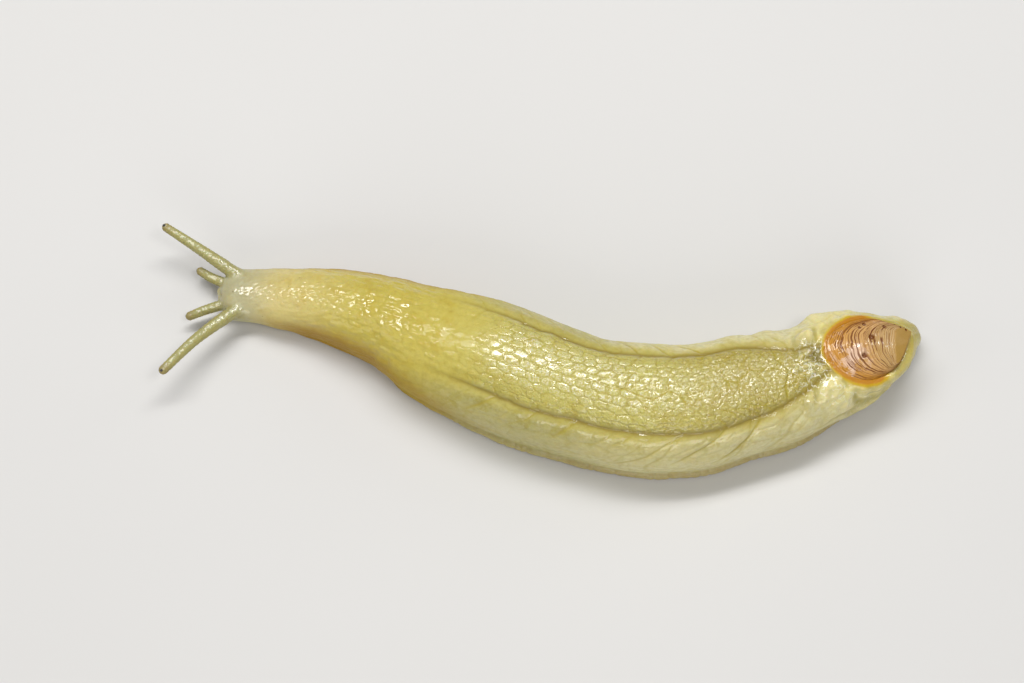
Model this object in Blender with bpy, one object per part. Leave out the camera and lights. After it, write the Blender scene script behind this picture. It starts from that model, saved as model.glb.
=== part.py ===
"""Earshell slug, life size, crawling with its tentacles out. Its small shell lies in the mantle on the tail.

Metres, +Z up, the head towards -X. The origin is on the floor below the middle of the whole animal.
"""

import math

import bmesh
import bpy
import numpy as np
from mathutils import Matrix, Vector

MM = 0.001
GAP = 0.3 * MM

# Middle line of the body in plan, snout to tail tip, with its widths and height there.
# Each row: x, y, half width, height, half width of the foot, in millimetres.
STATIONS = (
    (-26.4, 5.15, 2.10, 2.90, 1.75),
    (-23.8, 5.10, 2.15, 3.30, 1.80),
    (-21.2, 4.80, 2.45, 3.90, 2.15),
    (-17.1, 4.10, 2.95, 4.90, 2.85),
    (-12.9, 2.72, 3.62, 6.00, 3.33),
    (-10.9, 1.76, 4.02, 6.45, 3.62),
    (-9.0, 0.80, 4.52, 6.90, 4.33),
    (-4.9, -0.85, 5.05, 7.60, 5.00),
    (-0.7, -2.60, 5.10, 7.90, 5.20),
    (3.5, -4.05, 4.90, 8.00, 5.00),
    (7.7, -4.85, 5.10, 8.00, 5.15),
    (11.9, -4.80, 5.05, 7.90, 5.15),
    (15.9, -3.90, 4.80, 7.60, 4.85),
    (19.4, -3.00, 4.60, 7.20, 4.65),
    (22.1, -1.90, 4.20, 6.80, 4.05),
    (25.4, -0.48, 3.84, 6.00, 3.56),
    (27.8, 0.54, 2.82, 4.90, 2.45),
    (29.4, 1.38, 2.10, 4.00, 1.70),
    (30.95, 1.95, 1.45, 3.20, 0.90),
)
SAMPLES_PER_SPAN = 24

# The snout and the tail close as rounded ends over these lengths.
SNOUT_ROUND = 1.9 * MM
TAIL_ROUND = 3.4 * MM
END_POWER = 2.4
SNOUT_Z = 1.75 * MM
TAIL_Z = 1.4 * MM
END_CAP = 0.02 * MM

# Foot: a flat sole with a thin fringe all round.
FOOT_THICK = 0.85 * MM
FOOT_FRONT = 0.45 * MM
FOOT_BACK = 1.2 * MM
FOOT_ROUND = 2.2 * MM
FOOT_TAIL_ROUND = 5.0 * MM
# The foot's edge, from the sole to its top: share of its half width, share of its thickness.
FOOT_EDGE = ((0.90, 0.0), (0.975, 0.10), (1.0, 0.42), (0.975, 0.74), (0.90, 1.0))
BODY_FLOOR = FOOT_THICK + GAP

# Flank: its widest level, and how far it tucks in above the foot.
FLANK_LEVEL = 0.36
TUCK = 0.08

# The two long grooves that run from the mantle forward along the back.
GROOVE_ANGLE = math.radians(41)
GROOVE_ANGLE_AT_SHELL = math.radians(15)
GROOVE_HALF = math.radians(3.6)
GROOVE_DEPTH = 0.30 * MM
GROOVE_START = (12 * MM, 22 * MM)
GROOVE_MEET = (44 * MM, 52 * MM)

# Oblique furrows run forward from each groove, down the flank and a little way up the back.
FURROW_FIRST = 19.0 * MM
FURROW_LAST = 49.0 * MM
FURROW_PITCH = 3.3 * MM
FURROW_HALF = 0.34 * MM
FURROW_DEPTH = 0.19 * MM
FURROW_DEPTH_BACK = 0.09 * MM
LEAN_FLANK = 5.4 * MM
LEAN_BACK = 2.2 * MM
LEAN_RISE = (9 * MM, 27 * MM)
LEAN_FALL = (46 * MM, 57 * MM)

RING_STEP = 0.95 * MM
BACK_STEPS = 4
FLANK_STEPS = 4
TUCK_STEPS = 2

# Where thin cuts part the body and the foot, along the middle line.
BODY_CUTS = {"head": 4.6, "neck": 12.5, "forebody": 23.6, "midbody": 35.2, "hindbody": 46.6, "tail": None}
FOOT_CUTS = {"foot_front": 19.0, "foot_middle": 39.0, "foot_rear": None}

# Shell: seen from above, l runs to the apex at the rear and w to the animal's right, with the width of the
# mantle's lip outside it. Each row: l, w, lip, in millimetres.
SHELL_OUTLINE = (
    (3.80, 0.72, 0.50),
    (3.28, -0.25, 0.80),
    (2.55, -1.25, 0.80),
    (1.70, -1.95, 0.65),
    (0.45, -2.40, 0.60),
    (-1.00, -2.45, 0.60),
    (-2.30, -1.80, 0.55),
    (-3.20, -0.60, 0.50),
    (-3.42, 0.75, 0.50),
    (-2.65, 1.90, 0.65),
    (-1.10, 2.55, 0.55),
    (0.75, 2.60, 0.35),
    (2.25, 1.95, 0.38),
    (3.25, 1.20, 0.60),
)
SHELL_CENTRE = Vector((26.15, -0.75, 5.55)) * MM
SHELL_HEADING = math.radians(14)
SHELL_PITCH = math.radians(13)
SHELL_DOME = 0.75 * MM
SHELL_THICK = 0.5 * MM
SHELL_STEP = 0.06 * MM
SHELL_STEP_RUN = 0.012
SHELL_POINTS = 44
# Growth lines, as shares of the shell's length from the apex; the first two lie on its smooth oldest part.
SHELL_OLDEST = (0.115, 0.21)
SHELL_GROWTH = (0.30, 0.40, 0.52, 0.64, 0.74, 0.83, 0.91, 0.97)
SHELL_UNDER = (1.0, 0.8, 0.55, 0.3)
# The straight rear edge was already this share of its length when the shell was smallest.
SHELL_EDGE_SHARE = 0.70
# The dome's half length and half width, and how square its shoulders are.
DOME_HALF = (3.9 * MM, 2.75 * MM)
DOME_POWER = 2.2

# Mantle: a saucer of flesh under the shell whose lip stands up around the shell's edge.
SIDE_GAP = 0.25 * MM
MANTLE_DEPTH = 1.0 * MM
MANTLE_INSET = 1.6 * MM
MANTLE_LIP_RISE = 0.22 * MM
MANTLE_FLOOR = (0.86, 0.6, 0.34)

# Tentacles: each row is a place along one and the radius there, in millimetres. The root is inside the head.
TENTACLES = {
    "upper_tentacle_right": (
        (-23.5, 6.05, 1.90, 0.60),
        (-25.1, 6.75, 2.45, 0.62),
        (-28.0, 8.55, 3.25, 0.42),
        (-30.75, 10.20, 4.0, 0.33),
    ),
    "upper_tentacle_left": (
        (-23.5, 4.20, 1.90, 0.60),
        (-25.1, 3.45, 2.45, 0.62),
        (-28.0, 0.95, 3.25, 0.42),
        (-30.55, -1.95, 4.0, 0.36),
    ),
    "lower_tentacle_right": (
        (-24.6, 5.55, 1.80, 0.44),
        (-27.0, 6.55, 1.70, 0.38),
        (-28.1, 7.25, 1.50, 0.33),
    ),
    "lower_tentacle_left": (
        (-24.6, 4.75, 1.80, 0.44),
        (-27.4, 3.90, 1.70, 0.38),
        (-28.85, 3.38, 1.50, 0.34),
    ),
}
TENTACLE_STEPS = 10
TIP_RINGS = (35, 60, 80)

# Mouth: an upper and a lower lip at the front of the snout, the crease between them the line of the mouth.
# Each row: height of the lip's middle, its half width, its half height.
LIPS = ((1.78, 0.68, 0.28), (1.36, 0.60, 0.20))
LIP_REACH = 0.40 * MM
LIP_SET_BACK = 0.12 * MM

# Eyes: how far each stands ahead of its tentacle's end and above it, as shares of the end's radius.
EYE_RADIUS = 0.15 * MM
EYE_SOCKET_GAP = 0.06 * MM
EYE_AHEAD = 0.42
EYE_ABOVE = 0.62

COLOURS = {
    "flesh": ((0.60, 0.50, 0.13, 1), 0.30),
    "head_flesh": ((0.50, 0.45, 0.24, 1), 0.30),
    "sole": ((0.42, 0.35, 0.14, 1), 0.40),
    "mantle": ((0.66, 0.36, 0.04, 1), 0.35),
    "shell": ((0.50, 0.27, 0.10, 1), 0.35),
    "eye": ((0.012, 0.009, 0.008, 1), 0.15),
}


def clear_scene():
    for old in list(bpy.data.objects):
        bpy.data.objects.remove(old)


def material(name):
    """A plain Principled material with the part's colour and roughness."""
    found = bpy.data.materials.get(name)
    if found:
        return found
    colour, rough = COLOURS[name]
    made = bpy.data.materials.new(name)
    made.use_nodes = True
    shader = made.node_tree.nodes["Principled BSDF"]
    shader.inputs["Base Color"].default_value = colour
    shader.inputs["Roughness"].default_value = rough
    shader.inputs["Metallic"].default_value = 0.0
    made.diffuse_color = colour
    return made


def smooth(low, high, value):
    """Eased step from 0 at low to 1 at high."""
    share = min(1.0, max(0.0, (value - low) / (high - low)))
    return share * share * (3 - 2 * share)


def through(rows, per_span, closed=False):
    """A Catmull-Rom curve through the rows, each a tuple of any length."""
    points = np.array(rows, float)
    count = len(points)
    spans = count if closed else count - 1
    made = []
    for i in range(spans):
        if closed:
            a, b, c, d = (points[(i + k) % count] for k in (-1, 0, 1, 2))
        else:
            b, c = points[i], points[i + 1]
            a = points[i - 1] if i else 2 * b - c
            d = points[i + 2] if i + 2 < count else 2 * c - b
        for k in range(per_span):
            t = k / per_span
            bend = (2 * a - 5 * b + 4 * c - d) * t**2 + (3 * b - a - 3 * c + d) * t**3
            made.append(0.5 * (2 * b + (c - a) * t + bend))
    if not closed:
        made.append(points[-1])
    return np.array(made)


SPINE = through(STATIONS, SAMPLES_PER_SPAN) * MM
ALONG = np.concatenate([[0], np.cumsum(np.hypot(*np.diff(SPINE[:, :2], axis=0).T))])
LENGTH = float(ALONG[-1])
HEADING = np.unwrap(np.arctan2(np.gradient(SPINE[:, 1], ALONG), np.gradient(SPINE[:, 0], ALONG)))


def spine(s):
    """The values of a row of STATIONS, and the heading, at the distance s from the snout."""
    row = [float(np.interp(s, ALONG, SPINE[:, k])) for k in range(5)]
    return *row, float(np.interp(s, ALONG, HEADING))


def rounding(distance, length):
    """How full a rounded end is at this distance from its tip: 0 at the tip and 1 from length on."""
    share = min(1.0, max(0.0, distance / length))
    return (1 - (1 - share) ** END_POWER) ** (1 / END_POWER)


def groove_angle(s):
    """Angle from the top of the back at which the long groove lies."""
    return GROOVE_ANGLE + (GROOVE_ANGLE_AT_SHELL - GROOVE_ANGLE) * smooth(*GROOVE_MEET, s)


def furrow(s):
    """1 in the bottom of an oblique furrow and 0 between furrows."""
    if not FURROW_FIRST - FURROW_HALF < s < FURROW_LAST + FURROW_HALF:
        return 0.0
    off = abs((s - FURROW_FIRST + FURROW_PITCH / 2) % FURROW_PITCH - FURROW_PITCH / 2)
    return max(0.0, 1 - off / FURROW_HALF)


def leaned(s, angle, tuck):
    """Distance along the body of a ring's point: rings lean forward away from the long grooves."""
    groove = groove_angle(s)
    amount = smooth(*LEAN_RISE, s) * (1 - smooth(*LEAN_FALL, s))
    if abs(angle) < groove:
        return s - amount * LEAN_BACK * (1 - abs(angle) / groove)
    share = (abs(angle) - groove) / (math.pi / 2 - groove)
    return s - amount * LEAN_FLANK * (0.78 * share + 0.22 * tuck)


def body_point(s, angle, tuck=0.0, grow=0.0):
    """A point of the body's surface. The angle runs from the top, positive to the animal's right; tuck runs
    from 0 at the widest level to 1 at the underside. grow swells the whole body outwards."""
    at = leaned(s, angle, tuck)
    x, y, half, height, _, heading = spine(at)
    full = rounding(at, SNOUT_ROUND) * rounding(LENGTH - at, TAIL_ROUND)
    rest_z = SNOUT_Z if at < LENGTH / 2 else TAIL_Z
    half = half * full + grow
    top = rest_z + (height - rest_z) * full + grow
    floor = BODY_FLOOR - grow
    level = floor + (top - floor) * FLANK_LEVEL
    groove = groove_angle(s)
    near = max(0.0, 1 - abs(abs(angle) - groove) / GROOVE_HALF)
    depth = GROOVE_DEPTH * near * smooth(*GROOVE_START, s) * smooth(0, 6 * MM, LENGTH - s)
    if abs(angle) > groove:
        depth += FURROW_DEPTH * furrow(s) * smooth(0.0, 0.35, (abs(angle) - groove))
    else:
        depth += FURROW_DEPTH_BACK * furrow(s) * smooth(0.15, 0.75, abs(angle) / groove) * (1 - near)
    if grow:
        depth = 0.0
    across = half * math.sin(angle) * (1 - TUCK * tuck * tuck)
    up = level + (top - level) * math.cos(angle) if not tuck else level - (level - floor) * tuck
    across -= depth * math.sin(angle)
    up -= depth * math.cos(angle)
    side = Vector((-math.sin(heading), math.cos(heading), 0))
    return Vector((x, y, up)) + side * across


def ring_places(s):
    """(angle, tuck) of each point of a ring, from the left underside over the back to the right one."""
    groove = groove_angle(s)
    inner, outer = groove - GROOVE_HALF, groove + GROOVE_HALF
    half = [(inner * k / BACK_STEPS, 0.0) for k in range(BACK_STEPS + 1)]
    half += [(groove, 0.0), (outer, 0.0)]
    half += [(outer + (math.pi / 2 - outer) * k / FLANK_STEPS, 0.0) for k in range(1, FLANK_STEPS + 1)]
    half += [(math.pi / 2, k / TUCK_STEPS) for k in range(1, TUCK_STEPS + 1)]
    return [(-angle, tuck) for angle, tuck in reversed(half[1:])] + half


def ring_stations(first, last):
    """Ring distances between two cuts: three to each furrow, and even steps between."""
    marks = [first, last]
    count = round((FURROW_LAST - FURROW_FIRST) / FURROW_PITCH)
    for k in range(count + 1):
        for side in (-1, 0, 1):
            at = FURROW_FIRST + k * FURROW_PITCH + side * FURROW_HALF
            if first + FURROW_HALF < at < last - FURROW_HALF:
                marks.append(at)
    marks.sort()
    made = []
    for low, high in zip(marks, marks[1:]):
        steps = max(1, round((high - low) / RING_STEP))
        made += [low + (high - low) * k / steps for k in range(steps)]
    return made + [last]


def closed_loft(name, rings):
    """A closed mesh through rings of points, each end closed by a fan to its middle."""
    mesh = bmesh.new()
    rows = [[mesh.verts.new(point) for point in ring] for ring in rings]
    count = len(rows[0])
    for one, two in zip(rows, rows[1:]):
        for k in range(count):
            mesh.faces.new((one[k], one[(k + 1) % count], two[(k + 1) % count], two[k]))
    for row in (list(reversed(rows[0])), rows[-1]):
        middle = mesh.verts.new(sum((v.co for v in row), Vector()) / count)
        for k in range(count):
            mesh.faces.new((row[k], row[(k + 1) % count], middle))
    if mesh.calc_volume(signed=True) < 0:
        bmesh.ops.reverse_faces(mesh, faces=mesh.faces)
    data = bpy.data.meshes.new(name)
    mesh.to_mesh(data)
    mesh.free()
    return bpy.data.objects.new(name, data)


def finish_part(obj, colour, parts):
    """Puts a finished object among the parts, with its material and smooth shading."""
    obj.data.materials.clear()
    obj.data.materials.append(material(colour))
    obj.data.shade_smooth()
    obj.data.set_sharp_from_angle(angle=math.radians(35))
    parts.objects.link(obj)


def apply_boolean(obj, others, operation):
    """Cuts obj with closed meshes, or joins them to it, for good, and keeps the largest closed surface."""
    group = bpy.data.collections.new("operands")
    bpy.context.scene.collection.children.link(group)
    for item in others:
        group.objects.link(item)
    bpy.context.scene.collection.objects.link(obj)
    change = obj.modifiers.new("Change", "BOOLEAN")
    change.operation = operation
    change.operand_type = "COLLECTION"
    change.collection = group
    change.solver = "EXACT"
    bpy.context.view_layer.update()
    graph = bpy.context.evaluated_depsgraph_get()
    result = bpy.data.meshes.new_from_object(obj.evaluated_get(graph))
    obj.modifiers.clear()
    obj.data = result
    bpy.context.scene.collection.objects.unlink(obj)
    for item in others:
        bpy.data.objects.remove(item)
    bpy.data.collections.remove(group)
    keep_largest(obj)


def keep_largest(obj):
    """Drops every loose scrap but the largest closed surface."""
    mesh = bmesh.new()
    mesh.from_mesh(obj.data)
    bmesh.ops.remove_doubles(mesh, verts=mesh.verts, dist=0.002 * MM)
    left = set(mesh.verts)
    shells = []
    while left:
        stack = [left.pop()]
        group = set(stack)
        while stack:
            for edge in stack.pop().link_edges:
                for vert in edge.verts:
                    if vert in left:
                        left.remove(vert)
                        group.add(vert)
                        stack.append(vert)
        shells.append(group)
    keep = max(shells, key=len)
    bmesh.ops.delete(mesh, geom=[v for v in mesh.verts if v not in keep], context="VERTS")
    mesh.to_mesh(obj.data)
    mesh.free()


def body_length(name, first, last, grow=0.0):
    """One length of the body between two distances from the snout."""
    rings = []
    for s in ring_stations(first, last):
        rings.append([body_point(s, angle, tuck, grow) for angle, tuck in ring_places(s)])
    return closed_loft(name, rings)


def foot_length(name, first, last):
    """One length of the foot: a flat sole, a rounded fringe and a flat top under the body."""
    rings = []
    steps = max(2, round((last - first) / RING_STEP))
    for k in range(steps + 1):
        s = first + (last - first) * k / steps
        x, y, _, _, half, heading = spine(s)
        half *= rounding(s - FOOT_FRONT, FOOT_ROUND) * rounding(LENGTH - FOOT_BACK - s, FOOT_TAIL_ROUND)
        side = Vector((-math.sin(heading), math.cos(heading), 0))
        right = [Vector((x, y, up * FOOT_THICK)) + side * half * out for out, up in FOOT_EDGE]
        left = [Vector((x, y, up * FOOT_THICK)) - side * half * out for out, up in reversed(FOOT_EDGE)]
        rings.append(right + left)
    return closed_loft(name, rings)


def shell_matrix():
    """Places the shell's frame in the model: l to the apex, w to the animal's right, up its outer face."""
    turn = Matrix.Rotation(SHELL_HEADING, 4, "Z") @ Matrix.Rotation(SHELL_PITCH, 4, "Y")
    return Matrix.Translation(SHELL_CENTRE) @ turn


def shell_outline():
    """Points round the shell's edge in its own frame, from the apex on, with the outward way and the lip."""
    dense = through(SHELL_OUTLINE, 40, closed=True) * MM
    steps = np.diff(dense[:, :2], axis=0, append=dense[:1, :2])
    along = np.concatenate([[0], np.cumsum(np.hypot(*steps.T))])
    wrapped = np.vstack([dense, dense[:1]])
    at = np.linspace(0, along[-1], SHELL_POINTS, endpoint=False)
    row = np.stack([np.interp(at, along, wrapped[:, k]) for k in range(3)], axis=1)
    line = row[:, :2]
    step = np.roll(line, 1, axis=0) - np.roll(line, -1, axis=0)
    outward = np.stack([step[:, 1], -step[:, 0]], axis=1)
    return line, outward / np.linalg.norm(outward, axis=1)[:, None], row[:, 2]


def rim_ring(lip_share, extra, up):
    """A ring round the shell, outside its edge by a share of the lip and by extra, at a height over it."""
    line, outward, lip = shell_outline()
    moved = line + outward * (lip * lip_share + extra)[:, None]
    return [shell_matrix() @ Vector((l, w, up)) for l, w in moved]


def growth_line(share):
    """The shell's edge when it was this share of its length. Older edges hug the apex side."""
    line = shell_outline()[0]
    apex = line[0]
    down = np.array(SHELL_OUTLINE[3][:2]) * MM - apex
    down /= np.linalg.norm(down)
    back = np.array((-1.0, 0.0))
    parts = np.linalg.solve(np.stack([down, back], axis=1), (line - apex).T).T
    edge_share = SHELL_EDGE_SHARE + (1 - SHELL_EDGE_SHARE) * share
    first = np.where(parts[:, 0] > 0, parts[:, 0] * edge_share, parts[:, 0] * share)
    return apex + first[:, None] * down + (parts[:, 1] * share)[:, None] * back


def dome(l, w):
    """Height of the shell's dome above its edge plane."""
    away = min(1.0, math.hypot(l / DOME_HALF[0], w / DOME_HALF[1]))
    return SHELL_DOME * (1 - away**DOME_POWER)


def shell_ring(share, up):
    """A ring along the growth line of that share, at a height over the dome."""
    return [shell_matrix() @ Vector((l, w, dome(l, w) + up)) for l, w in growth_line(share)]


def shell(parts):
    """The ear-shaped shell: a shallow dome that steps down at each growth line, half a millimetre thick."""
    lift = SHELL_STEP * len(SHELL_GROWTH)
    rows = [(share, lift) for share in SHELL_OLDEST]
    for share in SHELL_GROWTH:
        rows += [(share, lift), (share + SHELL_STEP_RUN, lift - SHELL_STEP)]
        lift -= SHELL_STEP
    rows.append((1.0, 0.0))
    rows += [(share, -SHELL_THICK) for share in SHELL_UNDER]
    rings = [shell_ring(share, up) for share, up in rows]
    finish_part(closed_loft("shell", rings), "shell", parts)


def mantle(parts):
    """The saucer under the shell, with its lip round the shell's edge."""
    rings = [
        rim_ring(0.0, -MANTLE_INSET, -MANTLE_DEPTH),
        rim_ring(0.0, -0.2 * MM, -MANTLE_DEPTH * 0.92),
        rim_ring(0.72, 0.0, -MANTLE_DEPTH * 0.62),
        rim_ring(1.0, 0.0, -MANTLE_DEPTH * 0.2),
        rim_ring(0.92, 0.0, MANTLE_LIP_RISE * 0.5),
        rim_ring(0.75, 0.0, MANTLE_LIP_RISE),
        rim_ring(0.0, SIDE_GAP, MANTLE_LIP_RISE * 0.2),
        rim_ring(0.0, SIDE_GAP * 0.9, -SHELL_THICK),
    ]
    rings += [shell_ring(share, -SHELL_THICK - GAP) for share in MANTLE_FLOOR]
    finish_part(closed_loft("mantle", rings), "mantle", parts)


def mantle_room():
    """The space that the mantle and its gap take out of the tail, open upwards."""
    rings = [
        rim_ring(0.0, -MANTLE_INSET, -MANTLE_DEPTH - GAP),
        rim_ring(0.0, 0.0, -MANTLE_DEPTH * 0.92 - GAP),
        rim_ring(0.72, GAP * 0.8, -MANTLE_DEPTH * 0.62 - GAP * 0.5),
        rim_ring(1.0, GAP, -MANTLE_DEPTH * 0.2),
        rim_ring(1.0, GAP, 3 * MM),
    ]
    return closed_loft("mantle_room", rings)


def tentacle_line(name):
    """(point, radius) along a tentacle, through its root, bend and tip, ending in a rounded tip."""
    rows = through(TENTACLES[name], TENTACLE_STEPS) * MM
    made = [(Vector(row[:3]), float(row[3])) for row in rows]
    tip, radius = made[-1]
    ahead = (tip - made[-2][0]).normalized()
    for degrees in TIP_RINGS:
        angle = math.radians(degrees)
        made.append((tip + ahead * radius * math.sin(angle), radius * math.cos(angle)))
    return made


def tube(name, line):
    """A round tube with filled caps through (point, radius) pairs, as a mesh."""
    data = bpy.data.curves.new(name, "CURVE")
    data.dimensions = "3D"
    data.bevel_depth = 1.0
    data.bevel_resolution = 4
    data.use_fill_caps = True
    spline = data.splines.new("POLY")
    spline.points.add(len(line) - 1)
    for point, (place, radius) in zip(spline.points, line):
        point.co = (*place, 1.0)
        point.radius = radius
    guide = bpy.data.objects.new(name + "_guide", data)
    bpy.context.scene.collection.objects.link(guide)
    bpy.context.view_layer.update()
    mesh = bpy.data.meshes.new_from_object(guide.evaluated_get(bpy.context.evaluated_depsgraph_get()))
    bpy.data.objects.remove(guide)
    made = bpy.data.objects.new(name, mesh)
    keep_largest(made)
    return made


def ball(name, centre, radius):
    """A round ball as a mesh."""
    mesh = bmesh.new()
    bmesh.ops.create_uvsphere(mesh, u_segments=16, v_segments=10, radius=radius)
    bmesh.ops.translate(mesh, verts=mesh.verts, vec=centre)
    data = bpy.data.meshes.new(name)
    mesh.to_mesh(data)
    mesh.free()
    return bpy.data.objects.new(name, data)


def eye_centre(name):
    """The eye sits in the upper front of the upper tentacle's round tip."""
    line = tentacle_line(name)[: -len(TIP_RINGS)]
    tip, radius = line[-1]
    ahead = (tip - line[-2][0]).normalized()
    return tip + ahead * radius * EYE_AHEAD + Vector((0, 0, radius * EYE_ABOVE))


def lips(grow=0.0):
    """The two lips, as flattened balls across the front of the snout, swollen by grow."""
    x, y, _, _, _, heading = spine(0.0)
    forward = Vector((-math.cos(heading), -math.sin(heading), 0))
    turn = Matrix.Rotation(heading, 4, "Z")
    made = []
    for height, half_width, half_height in LIPS:
        size = Matrix.Diagonal((LIP_REACH + grow, half_width * MM + grow, half_height * MM + grow, 1))
        place = Matrix.Translation(Vector((x, y, height * MM)) - forward * LIP_SET_BACK)
        lip = ball("lip", Vector(), 1.0)
        lip.data.transform(place @ turn @ size)
        made.append(lip)
    return made


def tentacles(parts):
    """Four tentacles, each trimmed to stand off the head, the upper two with an eye in the tip."""
    for name in TENTACLES:
        made = tube(name, tentacle_line(name))
        room = body_length("head_room", 0.0, BODY_CUTS["neck"] * MM, grow=GAP)
        apply_boolean(made, [room, *lips(GAP)], "DIFFERENCE")
        if name.startswith("upper"):
            side = name.rsplit("_", 1)[1]
            centre = eye_centre(name)
            apply_boolean(made, [ball("socket", centre, EYE_RADIUS + EYE_SOCKET_GAP)], "DIFFERENCE")
            finish_part(ball("eye_" + side, centre, EYE_RADIUS), "eye", parts)
        finish_part(made, "head_flesh", parts)


def body(parts):
    """The back and flanks, in lengths from the head to the tail, each with its own furrows."""
    start = END_CAP
    for name, cut in BODY_CUTS.items():
        end = cut * MM - GAP / 2 if cut else LENGTH - END_CAP
        made = body_length(name, start, end)
        if name == "head":
            apply_boolean(made, lips(), "UNION")
        if name == "tail":
            apply_boolean(made, [mantle_room()], "DIFFERENCE")
        finish_part(made, "head_flesh" if name in ("head", "neck") else "flesh", parts)
        start = end + GAP


def foot(parts):
    """The foot, in three lengths under the body."""
    start = FOOT_FRONT + END_CAP
    for name, cut in FOOT_CUTS.items():
        end = cut * MM - GAP / 2 if cut else LENGTH - FOOT_BACK - END_CAP
        finish_part(foot_length(name, start, end), "sole", parts)
        start = end + GAP


def main():
    clear_scene()
    parts = bpy.data.collections.new("earshell_slug")
    bpy.context.scene.collection.children.link(parts)
    body(parts)
    foot(parts)
    mantle(parts)
    shell(parts)
    tentacles(parts)


main()
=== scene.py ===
"""Looks of the earshell slug: one wet skin over body, foot and mantle, the horny shell and two eyes."""

import math

import bpy
import numpy as np
from mathutils import Matrix, Vector


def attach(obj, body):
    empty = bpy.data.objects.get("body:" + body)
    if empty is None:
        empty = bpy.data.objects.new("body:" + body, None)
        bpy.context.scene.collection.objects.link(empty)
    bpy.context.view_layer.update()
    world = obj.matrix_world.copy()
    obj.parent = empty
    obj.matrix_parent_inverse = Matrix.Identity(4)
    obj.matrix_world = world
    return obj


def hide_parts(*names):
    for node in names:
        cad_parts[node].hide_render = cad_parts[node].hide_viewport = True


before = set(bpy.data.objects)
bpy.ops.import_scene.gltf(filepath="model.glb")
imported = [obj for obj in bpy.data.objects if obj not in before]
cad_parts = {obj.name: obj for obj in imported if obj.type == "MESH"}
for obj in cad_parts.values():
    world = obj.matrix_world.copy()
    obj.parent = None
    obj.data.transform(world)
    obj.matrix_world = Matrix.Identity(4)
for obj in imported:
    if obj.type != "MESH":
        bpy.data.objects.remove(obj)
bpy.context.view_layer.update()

MM = 0.001

# Every size below is in millimetres unless its name says otherwise.
# Middle line of the body in plan, snout to tail tip: x, y, half width, height, half width of the foot.
STATIONS = (
    (-26.4, 5.15, 2.10, 2.90, 1.75),
    (-23.8, 5.10, 2.15, 3.30, 1.80),
    (-21.2, 4.80, 2.45, 3.90, 2.15),
    (-17.1, 4.10, 2.95, 4.90, 2.85),
    (-12.9, 2.72, 3.62, 6.00, 3.33),
    (-10.9, 1.76, 4.02, 6.45, 3.62),
    (-9.0, 0.80, 4.52, 6.90, 4.33),
    (-4.9, -0.85, 5.05, 7.60, 5.00),
    (-0.7, -2.60, 5.10, 7.90, 5.20),
    (3.5, -4.05, 4.90, 8.00, 5.00),
    (7.7, -4.85, 5.10, 8.00, 5.15),
    (11.9, -4.80, 5.05, 7.90, 5.15),
    (15.9, -3.90, 4.80, 7.60, 4.85),
    (19.4, -3.00, 4.60, 7.20, 4.65),
    (22.1, -1.90, 4.20, 6.80, 4.05),
    (25.4, -0.48, 3.84, 6.00, 3.56),
    (27.8, 0.54, 2.82, 4.90, 2.45),
    (29.4, 1.38, 2.10, 4.00, 1.70),
    (30.95, 1.95, 1.45, 3.20, 0.90),
)
SAMPLES_PER_SPAN = 24

# Rounded ends.
SNOUT_ROUND = 1.9
TAIL_ROUND = 3.4
END_POWER = 2.4
SNOUT_Z = 1.75
TAIL_Z = 1.4
END_CAP = 0.02

# Foot and flank.
FOOT_THICK = 0.85
FOOT_FRONT = 0.45
FOOT_BACK = 1.2
FOOT_ROUND = 2.2
FOOT_TAIL_ROUND = 5.0
FOOT_EDGE = (
    (0.60, 0.0), (0.88, 0.0), (0.95, 0.05), (0.985, 0.18), (1.0, 0.38),
    (0.99, 0.58), (0.96, 0.78), (0.90, 0.97), (0.60, 1.25),
)
BODY_FLOOR = 1.15
SKIN_FLOOR = 0.55
FLANK_LEVEL = 0.36
TUCK = 0.08
BODY_RINGS = 520
FOOT_RINGS = 420
BACK_POINTS = 73
TUCK_POINTS = 8
# The hollow in the back under the shell, in the shell's own frame.
HOLLOW_FLOOR = -0.55
HOLLOW_RIM = 0.02
HOLLOW_RISE = 0.55
HOLLOW_REACH = 1.6
HOLLOW_LOWEST = -1.5

# The two long grooves and the oblique furrows that lean forward away from them.
GROOVE_ANGLE = math.radians(41)
GROOVE_ANGLE_AT_SHELL = math.radians(15)
GROOVE_START = (16, 26)
GROOVE_MEET = (44, 52)
GROOVE_FADE = 6.0
FURROW_FIRST = 19.0
FURROW_PITCH = 3.3
# Two families of furrows: seed, pitch, further lean, width, depth.
FURROWS = ((31, FURROW_PITCH, 0.0, 0.17, 0.10), (47, FURROW_PITCH * 0.81, -0.45, 0.14, 0.035))
LEAN_FLANK = 5.4
LEAN_BACK = 2.2
LEAN_RISE = (9, 27)
LEAN_FALL = (46, 57)

# Shell from above: l runs to the apex at the rear, w to the animal's right. Then the mantle lip's width.
SHELL_OUTLINE = (
    (3.80, 0.72, 0.50),
    (3.28, -0.25, 0.80),
    (2.55, -1.25, 0.80),
    (1.70, -1.95, 0.65),
    (0.45, -2.40, 0.60),
    (-1.00, -2.45, 0.60),
    (-2.30, -1.80, 0.55),
    (-3.20, -0.60, 0.50),
    (-3.42, 0.75, 0.50),
    (-2.65, 1.90, 0.65),
    (-1.10, 2.55, 0.55),
    (0.75, 2.60, 0.35),
    (2.25, 1.95, 0.38),
    (3.25, 1.20, 0.60),
)
SHELL_CENTRE = (26.15, -0.75, 5.55)
SHELL_HEADING = math.radians(14)
SHELL_PITCH = math.radians(13)
SHELL_DOME = 0.75
SHELL_EDGE_SHARE = (0.82, 0.50)
DOME_HALF = (3.9, 2.75)
DOME_POWER = 2.2
SHELL_LIFT = 0.48
SHELL_RINGS = 300
SHELL_AROUND = 360
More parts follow.
